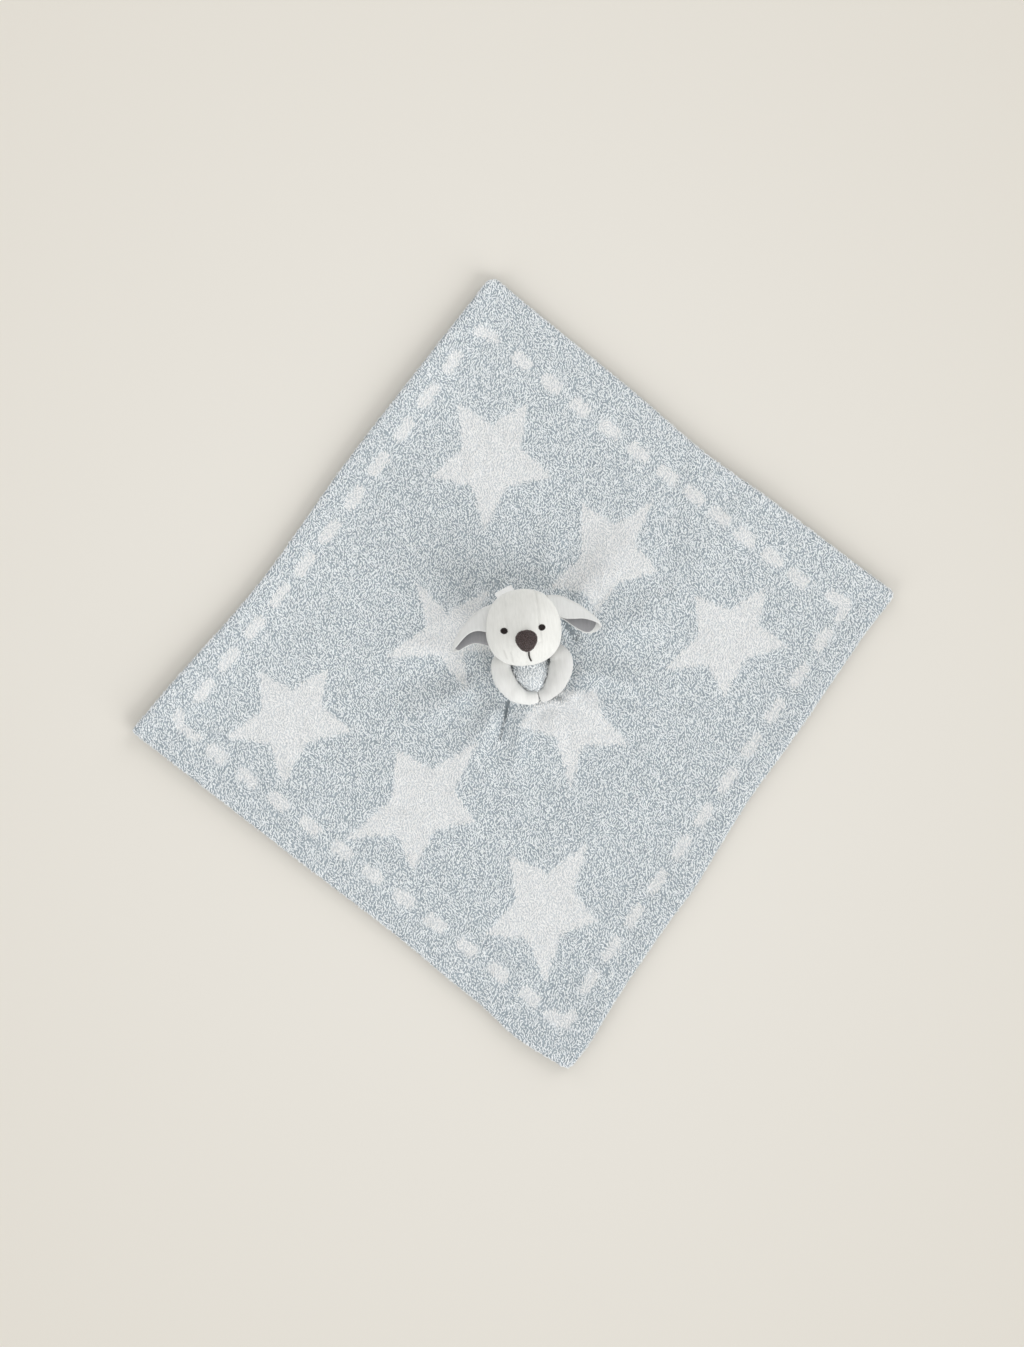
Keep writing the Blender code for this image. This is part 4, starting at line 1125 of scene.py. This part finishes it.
def makeNose():
    base = padOnFace("nose_dome", (nose["x"], nose["y"]), noseOutline, nose["height"] - nose["napDepth"], nosePlush)
    tree = treeOf(base.data)
    rng = np.random.default_rng(17)
    points, ups, along, stretch = [], [], [], []
    for _ in range(nose["yarns"]):
        angle, share = rng.uniform(0, tau), sqrt(rng.uniform(0, 1))
        off = noseOutline(angle) * share
        place, normal = seenOn(tree, nose["x"] + off[0], nose["y"] + off[1])
        if place is None:
            continue
        points.append(np.array(place) - np.array(normal) * nose["rootDepth"])
        ups.append(np.array(normal))
        along.append((rng.normal(0, 0.6), rng.normal(0, 1), 0.0))
        stretch.append((rng.uniform(0.7, 1.2), 1, rng.uniform(0.6, 1.2)))
    return joined("nose_plush", base, grown("nose_nap", points, ups, along, stretch, nose["yarn"], nosePlush))


# shares are of the thread's thickness: how far its plies lie from its middle, and their radius
thread = {"plies": 2, "twist": 0.0022, "sides": 8, "apart": 0.22, "ply": 0.30, "ends": (0.45, 0.85)}


def threadTube(name, path, thickness, finish):
    # plies twisted round each other along a path
    path = np.asarray(path, float)
    steps = np.linalg.norm(np.diff(path, axis=0), axis=1)
    walked = np.concatenate(([0], np.cumsum(steps)))
    tangent = unit(np.gradient(path, axis=0))
    side = unit(np.cross(tangent, (0.0, 0.0, 1.0)))
    up = np.cross(side, tangent)
    plies, sides = thread["plies"], thread["sides"]
    angles = turns(sides)[:, None]
    parts = []
    for ply in range(plies):
        phase = walked / thread["twist"] * tau + ply * tau / plies
        off = side * np.cos(phase)[:, None] + up * np.sin(phase)[:, None]
        middle = path + off * thickness * thread["apart"]
        rows = []
        for k, centre in enumerate(middle):
            end = min(k, len(middle) - 1 - k)
            radius = thickness * thread["ply"] * (1 if end > 1 else thread["ends"][end])
            rows.append(centre + (side[k] * np.cos(angles) + up[k] * np.sin(angles)) * radius)
        parts.append(makeTube(f"{name}_ply_{ply}", rows, finish, (middle[0], middle[-1])))
    return joined(name, *parts)


mouth = {
    "x": 0.0026, "lean": 0.0014, "bow": 0.0008, "length": 0.0084, "tuckedUnderNose": 0.0002, "rise": 0.0006,
    "endDip": 0.0010, "thickness": 0.0016, "points": 34,
}


def makeMouth():
    path = []
    top = nose["y"] - nose["length"] / 2 + mouth["tuckedUnderNose"]
    for share in np.linspace(0, 1, mouth["points"]):
        x = mouth["x"] + mouth["lean"] * share - mouth["bow"] * sin(pi * share)
        place, normal = onFace(x, top - mouth["length"] * share)
        path.append(place + normal * (mouth["rise"] - mouth["endDip"] * (share > 0.97)))
    return threadTube("mouth_thread", path, mouth["thickness"], darkThread)


eyePieces = {side: makeEye(side) for side in ("left", "right")}
nosePiece = makeNose()
mouthPiece = makeMouth()
print("face is sewn")


# label: a blank satin ribbon folded into a loop

label = {
    "width": 0.0170, "length": 0.0092, "thickness": 0.0005, "bend": 0.0009,
    "turn": 113,  # degrees round the head and up from its middle
    "dip": -24, "rootGap": -0.0012, "sink": 0.0024, "wave": 0.0004, "columns": 25, "straightSteps": 8,
    "bendSteps": 13,
}


def makeLabel():
    turn, dip = radians(label["turn"]), radians(label["dip"])
    # the loop stands out of the head at the back, a little round to the right
    direction = np.array((cos(turn) * cos(dip), sin(turn) * cos(dip), sin(dip)))
    root = headSurface(direction[None])[0]
    out = unit(root - head["centre"])
    root = root - out * label["sink"]
    across = unit(np.cross((0.0, 0.0, 1.0), out))
    up = np.cross(out, across)
    bend, half, steps = label["bend"], label["thickness"] / 2, label["straightSteps"]
    stretch = label["length"] - bend
    columns = np.linspace(-0.5, 0.5, label["columns"])

    def section(radius):
        straight = np.linspace(label["rootGap"], stretch, steps + 1)[:-1]
        angles = np.linspace(-pi / 2, pi / 2, label["bendSteps"])
        low = np.column_stack((straight, np.full(steps, -radius)))
        bow = np.column_stack((stretch + radius * np.cos(angles), radius * np.sin(angles)))
        return np.vstack((low, bow, np.column_stack((straight[::-1], np.full(steps, radius)))))

    rings = []
    for outer, inner in zip(section(bend + half), section(bend - half)):
        ring = []
        for (a, b), shares in ((outer, columns), (inner, columns[::-1])):
            for share in shares:
                wave = label["wave"] * sin(share * 7 + 0.6) * outer[0] / label["length"]
                ring.append(root + out * a + up * (b + wave) + across * share * label["width"])
        rings.append(ring)
    return makeTube("blank_satin_label", rings, whiteSatin)


labelPiece = makeLabel()


# neck: short stitches over the seam that ties the head to the gathered cloth

neckStitches = {
    "yarn": dict(zip(yarnSizes, (0.0030, 0.0005, 0.0008, 0.08, 6, 6, 9))), "count": 30,
    "slants": (0.3, 0.5),  # every other stitch leans more
    "lie": 0.4, "thread": 0.0009, "threadPoints": 150,
}


def ringLine():
    # the middle line of the CAD's neck seam, in order round it
    points = pointsOf(frame["nodes"]["neck_seam"].data)
    middle = points.mean(0)
    normal = np.linalg.svd(points - middle)[2][2]
    normal *= np.sign(normal[2])
    first = unit(np.cross(normal, (0.0, 1.0, 0.0)))
    second = np.cross(normal, first)
    turn = np.arctan2((points - middle) @ second, (points - middle) @ first)
    line = []
    for angle in np.linspace(-pi, pi, neckStitches["count"], endpoint=False):
        apart = np.abs((turn - angle + pi) % tau - pi)
        line.append(points[apart < 0.16].mean(0))
    return np.array(line), normal


def makeNeck():
    line, normal = ringLine()
    along = unit(np.roll(line, -1, axis=0) - np.roll(line, 1, axis=0))
    outward = unit(line - line.mean(0))
    even, odd = neckStitches["slants"]
    slant = unit(along + np.where(np.arange(len(line)) % 2, odd, even)[:, None] * normal)
    ups = unit(outward - normal * neckStitches["lie"])
    stitches = grown("neck_stitches", line, ups, slant, np.ones_like(line), neckStitches["yarn"], whiteThread)
    path = smoothPath(np.vstack((line, line[:1])), neckStitches["threadPoints"])
    return joined("neck_stitching", stitches, threadTube("neck_thread", path, neckStitches["thread"], whiteThread))


neckPiece = makeNeck()
print("neck is sewn")


# ears: lined leaves folded over along their upper edge

ear = {
    "thickness": 0.0015, "lining": 0.0009, "liningOverlap": 0.0001, "stations": 60, "acrossLayer": 14,
    "foldSteps": 11,
    "nearer": 0.988,  # the ears lie nearer the camera than the cloth
    "foldStations": (0, 0.35, 0.75, 1), "smallestFold": 0.0004,
    "bend": (0.02, 0.24),  # where it bends when it lifts, from before the root to past it, as shares of its length
    "closing": (0.86, 0.1405),  # where the tip starts to close, and in what share of the length
}
earSides = {
    # guides in pixels from the root to the tip: the folded upper edge, the lower edge and the flap's edge
    "left": {
        "fold": (546, 595, 558, 595, 568.7, 599, 580.1, 604.7, 590.7, 612.3, 598.3, 619.2, 602.5, 625.4),
        "lower": (551, 613, 563.9, 620, 571.5, 625.4, 579.2, 630.3, 586.8, 633.2, 596, 631.8, 602.3, 627),
        "flap": (551, 613, 563.8, 618.3, 573.4, 618.9, 583, 618.6, 591.6, 620.4, 597.5, 623, 602.2, 626.2),
        "heights": (0.0423, 0.0295, 0.0015),
        "foldHeights": (0.0063, 0.0074, 0.0066, 0.0034),
        "liningEnd": 0.80,
        "rim": 0.0010,
        "root": (0.03043, 0.04516, 0.04233),
        "tip": (0.0414, -0.0211, -0.0135),
    },
    "right": {
        "fold": (503, 602, 491.4, 604.3, 480.7, 609.1, 471.1, 616.7, 462, 627.3, 455.5, 637.8, 451.3, 649),
        "lower": (498, 649, 486, 645.6, 476, 643.6, 469.2, 645, 463.4, 647.9, 458, 651.2, 452.6, 653),
        "flap": (497, 636, 485.8, 632.4, 476.8, 631.2, 469.2, 633.6, 463, 638.8, 457.3, 645.6, 452, 651.5),
        "heights": (0.0423, 0.0275, 0.0040),
        "foldHeights": (0.0063, 0.0074, 0.0064, 0.0034),
        "liningEnd": 0.91,
        "rim": 0.0003,
        "root": (-0.03140, 0.04084, 0.04233),
        "tip": (-0.0361, -0.0234, -0.0150),
    },
}


def earLine(one, share, inset, rim):
    # middle line of the folded leaf at one station: lower layer, fold, flap
    i = share * (len(one["guides"]["fold"]) - 1)
    k = min(int(i), len(one["guides"]["fold"]) - 2)
    fold, lower, flap = (line[k] + (line[k + 1] - line[k]) * (i - k) for line in one["guides"].values())
    root, tip, arch = one["heights"]
    z = root + (tip - root) * share + arch * sin(pi * share)
    r = float(np.interp(share, ear["foldStations"], one["foldHeights"])) / 2
    inner = max(r - inset, ear["smallestFold"])
    across = unit(fold - lower)
    bend = fold - across * r
    lower = lower + across * min(rim, 0.8 * np.linalg.norm(bend - lower))
    flap = flap + unit(bend - flap) * min(rim, 0.8 * np.linalg.norm(bend - flap))
    parts = np.linspace(0, 1, ear["acrossLayer"])[:, None]
    low = np.column_stack((lower + (bend - lower) * parts, np.full(len(parts), z - r - inner)))
    high = np.column_stack((bend + (flap - bend) * parts, np.full(len(parts), z - r + inner)))
    angles = np.linspace(-pi / 2, pi / 2, ear["foldSteps"])[1:-1]
    turn = np.column_stack((bend + across * inner * np.cos(angles)[:, None], z - r + inner * np.sin(angles)))
    return np.vstack((low, turn, high))


def earLayer(name, one, inset, thickness, rim, endShare, finish):
    start, reach = ear["closing"]
    rings = []
    for share in np.linspace(0, 1, ear["stations"]) ** 0.85:
        closing = sqrt(max(0.0, 1 - (max(0.0, share - start) / reach) ** 2))
        line = earLine(one, share * endShare, inset, rim)
        centre = line.mean(0)
        ahead = unit(earLine(one, min(1, share * endShare + 0.02), inset, rim).mean(0) - centre + 1e-6)
        line = centre + (line - centre) * (0.06 + 0.94 * closing)
        side = unit(np.cross(ahead, unit(np.gradient(line, axis=0))))
        count = np.arange(len(line))
        taper = np.sqrt(np.clip((np.minimum(count, count[::-1]) + 0.3) / 2.3, 0, 1))
        half = (thickness / 2 * taper * (0.3 + 0.7 * closing))[:, None]
        rings.append(np.vstack((line + side * half, (line - side * half)[::-1])))
    return makeTube(name, rings, finish)


for one in earSides.values():
    one["guides"] = {key: smoothPath(traced(one[key]) * ear["nearer"], 60) for key in ("fold", "lower", "flap")}
earPieces = {}
for side, one in earSides.items():
    outer, lining = ear["thickness"], ear["lining"]
    inset = outer + lining / 2 - ear["liningOverlap"]
    earPieces[side] = (
        earLayer(f"ear_{side}_leaf", one, outer / 2, outer, 0.0, 1, shadedEarPlush),
        earLayer(f"ear_{side}_inside", one, inset, lining, one["rim"], one["liningEnd"], earVelour),
    )
print("ears are folded")


# arms: stuffed tubes with a seam along each side

arm = {
    "thickness": 0.0195, "halfWidth": 0.0270, "reach": 0.0330, "seat": 0.0050,
    "shoulder": (0.15, 2.6),  # share of the length that closes, and how bluntly
    "hand": (0.06, 6.0), "handsGap": 0.0001,
    "breadth": {"left": 1.18, "right": 1.04},  # width over height
    "inward": {"left": 0.0006, "right": 0.0},
    "steps": 240,
    "bentSteps": 46,  # the part that bends when the arm swings
    "coarse": (40, 16), "coarseInset": 0.0005, "fine": (150, 64), "fineInset": 0.0004, "smallest": 0.0004,
    "swellCap": 0.0008,
    "groove": (0.0004, 0.09),  # depth, and width as a sine
    "pucker": (0.00018, 0.45),
}
outwards = {"left": 1, "right": -1}  # the way out along X
armSwell = ((0, 0.56), (0.12, 0.74), (0.28, 0.96), (0.48, 1.0), (0.66, 0.90), (0.84, 0.70), (1, 0.63))
armPaths = {
    "right": (
        (-0.66, 0.26), (-0.83, 0.06), (-0.87, -0.21), (-0.77, -0.54),
        (-0.52, -0.85), (-0.15, -1.04), (0.285, -1.04),
    ),
    "left": ((0.76, 0.36), (1, 0.15), (1.13, -0.12), (1.05, -0.40), (0.86, -0.72), (0.57, -0.97), (0.285, -1.04)),
}


def armLine(side):
    flat = np.array(armPaths[side]) * (arm["halfWidth"], arm["reach"])
    flat[-1] += (outwards[side] * arm["handsGap"] / 2, 0)
    path = smoothPath(flat, arm["steps"])
    share = np.linspace(0, 1, arm["steps"] + 1)
    return np.column_stack((path, arm["seat"] + arm["thickness"] * fromTable(armSwell, share) / 2))


def armSkin(side, stations, sides, inset):
    path = armLine(side)
    angles = turns(sides)[:, None]
    (nearShare, nearPower), (farShare, farPower) = arm["shoulder"], arm["hand"]
    rows = []
    for share in (1 - np.cos(np.linspace(0.012, 0.988, stations) * pi)) / 2:
        i = share * (len(path) - 1)
        k = min(int(i), len(path) - 2)
        centre = path[k] + (path[k + 1] - path[k]) * (i - k)
        ahead = unit(path[min(k + 3, len(path) - 1)] - path[max(k - 2, 0)])
        outward = unit(np.cross(ahead, (0.0, 0.0, 1.0)))
        up = np.cross(outward, ahead)
        near = max(0.0, (nearShare - share) / nearShare)
        far = max(0.0, (share - 1 + farShare) / farShare)
        blunt = sqrt(max(0, 1 - near**nearPower)) * sqrt(max(0, 1 - far**farPower))
        radius = arm["thickness"] / 2 * float(fromTable(armSwell, share)) * blunt - inset
        middle = sin(pi * share) ** 2
        wide = 1 + (arm["breadth"][side] - 1) * middle
        centre = centre - outward * outwards[side] * arm["inward"][side] * middle
        around = outward * np.cos(angles) * wide + up * np.sin(angles)
        rows.append(centre + around * max(radius, arm["smallest"]))
    tips = [rows[0].mean(0)[None], rows[-1].mean(0)[None]]
    return np.vstack((*rows, *tips)), tubeFaces(stations, sides), np.array(rows)


def makeArm(side):
    count, sides = arm["coarse"]
    skin, faces, _ = armSkin(side, count, sides, arm["coarseInset"])
    index = np.arange(len(skin))
    # the side seams, the shoulder's first two rings and both ends stay put
    pinned = (index >= count * sides) | (index % (sides // 2) == 0) | (index < 2 * sides)
    moves = swell(skin, faces, pinned, arm["swellCap"])
    count, sides = arm["fine"]
    points, faces, rows = armSkin(side, count, sides, arm["fineInset"])
    points = points + carried(points, skin, moves)
    # a sewn groove along each side, with small puckers
    angle = np.tile(turns(sides), count)
    station = np.repeat(np.arange(count), sides)
    outward = unit(points[: count * sides] - rows.mean(1)[station])
    (groove, grooveWidth), (pucker, puckerReach) = arm["groove"], arm["pucker"]
    depth = bell(np.sin(angle), grooveWidth) * groove
    depth = depth + bell(np.sin(angle), puckerReach) * pucker * np.sin(station * 0.9 + (np.cos(angle) > 0) * 2)
    points[: count * sides] -= outward * depth[:, None]
    return makeMesh(f"arm_{side}_padded", points, faces, armPlush[side])


armPieces = {side: makeArm(side) for side in ("left", "right")}
print("arms are stuffed")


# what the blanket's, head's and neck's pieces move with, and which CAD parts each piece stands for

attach(blanketGround, "blanket")
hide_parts("blanket_sheet")
for piece in pilePieces:
    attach(piece, "blanket")

for piece, slot, nodes in (
    (headPiece, "off_white_plush", ("head_gusset", "head_side_left", "head_side_right", "head_filling")),
    (eyePieces["left"], "dark_embroidery", ("eye_left",)),
    (eyePieces["right"], "dark_embroidery", ("eye_right",)),
    (nosePiece, "brown_nose_plush", ("nose",)),
    (mouthPiece, "dark_embroidery", ("mouth_stitch",)),
    (labelPiece, "white_satin", ("blank_label",)),
):
    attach(piece, "head")
    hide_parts(*nodes)
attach(neckPiece, "neck")
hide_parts("neck_seam")

for side, one in earSides.items():
    leaf, inside = earPieces[side]
    layers = (leaf, f"ear_{side}_outer", "off_white_plush"), (inside, f"ear_{side}_lining", "grey_lining")
    for piece, node, slot in layers:
        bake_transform(piece)
        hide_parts(node)
    piece = armPieces[side]
    path = armLine(side) + neckPlace
    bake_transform(piece)
    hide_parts(f"arm_{side}_upper_panel", f"arm_{side}_lower_panel", f"arm_{side}_filling")


# studio: pale floor, soft light from the lower right, camera straight above


def makeFloor():
    corners = [(-20, -20, 0), (20, -20, 0), (20, 20, 0), (-20, 20, 0)]
    made = makeMesh("floor", corners, [[0, 1, 2, 3]], tidyNormals=False)
    finish = Finish("pale floor", 0.9, specular=0.1)
    # painted shade: the floor is painted darker away from the middle, where the light falls off
    away = {0: finish.place((1.25, 1.0, 1.0))}
    away = finish.node("ShaderNodeTexGradient", {"gradient_type": "SPHERICAL"}, away, output=1)
    finish.feed("Base Color", finish.mix(away, (219, 214, 204), (230, 227, 220)))
    made.data.materials.append(finish.material)


# lamps: strength, apparent size, bearing it shines from and height, in degrees
lamps = {
    "soft light from the lower right": (1.78, 44, -45, 25),
    "soft light from the lower left": (0.97, 44, 225, 25),
    "soft light from the upper right": (0.97, 44, 45, 25),
    "soft light from the upper left": (0.52, 44, 135, 25),
}
camera = {"distance": 3.0, "place": (-0.00117, 0.00116, 3.006), "sensor": 36}


def addLamps():
    for name, (strength, size, bearing, height) in lamps.items():
        lamp = bpy.data.lights.new(name, "SUN")
        lamp.energy = strength
        lamp.angle = radians(size)
        turn = radians(bearing + 90) - photoTurn
        addObject(name, lamp).rotation_euler = (radians(90 - height), 0, turn)


def addCamera():
    eye = bpy.data.cameras.new("camera")
    eye.sensor_width = camera["sensor"]
    eye.lens = camera["sensor"] * camera["distance"] / (photoHeight * photoScale)
    eye.clip_start = 0.05
    made = addObject("camera", eye)
    made.location = camera["place"]
    made.rotation_euler = (0, 0, -photoTurn)
    bpy.context.scene.camera = made


makeFloor()
world = bpy.data.worlds.new("studio")
world.use_nodes = True
world.node_tree.nodes["Background"].inputs[0].default_value = (1.0, 0.995, 0.985, 1)
world.node_tree.nodes["Background"].inputs[1].default_value = 0.48
bpy.context.scene.world = world
addLamps()
addCamera()
bpy.context.scene.view_settings.view_transform = "Standard"
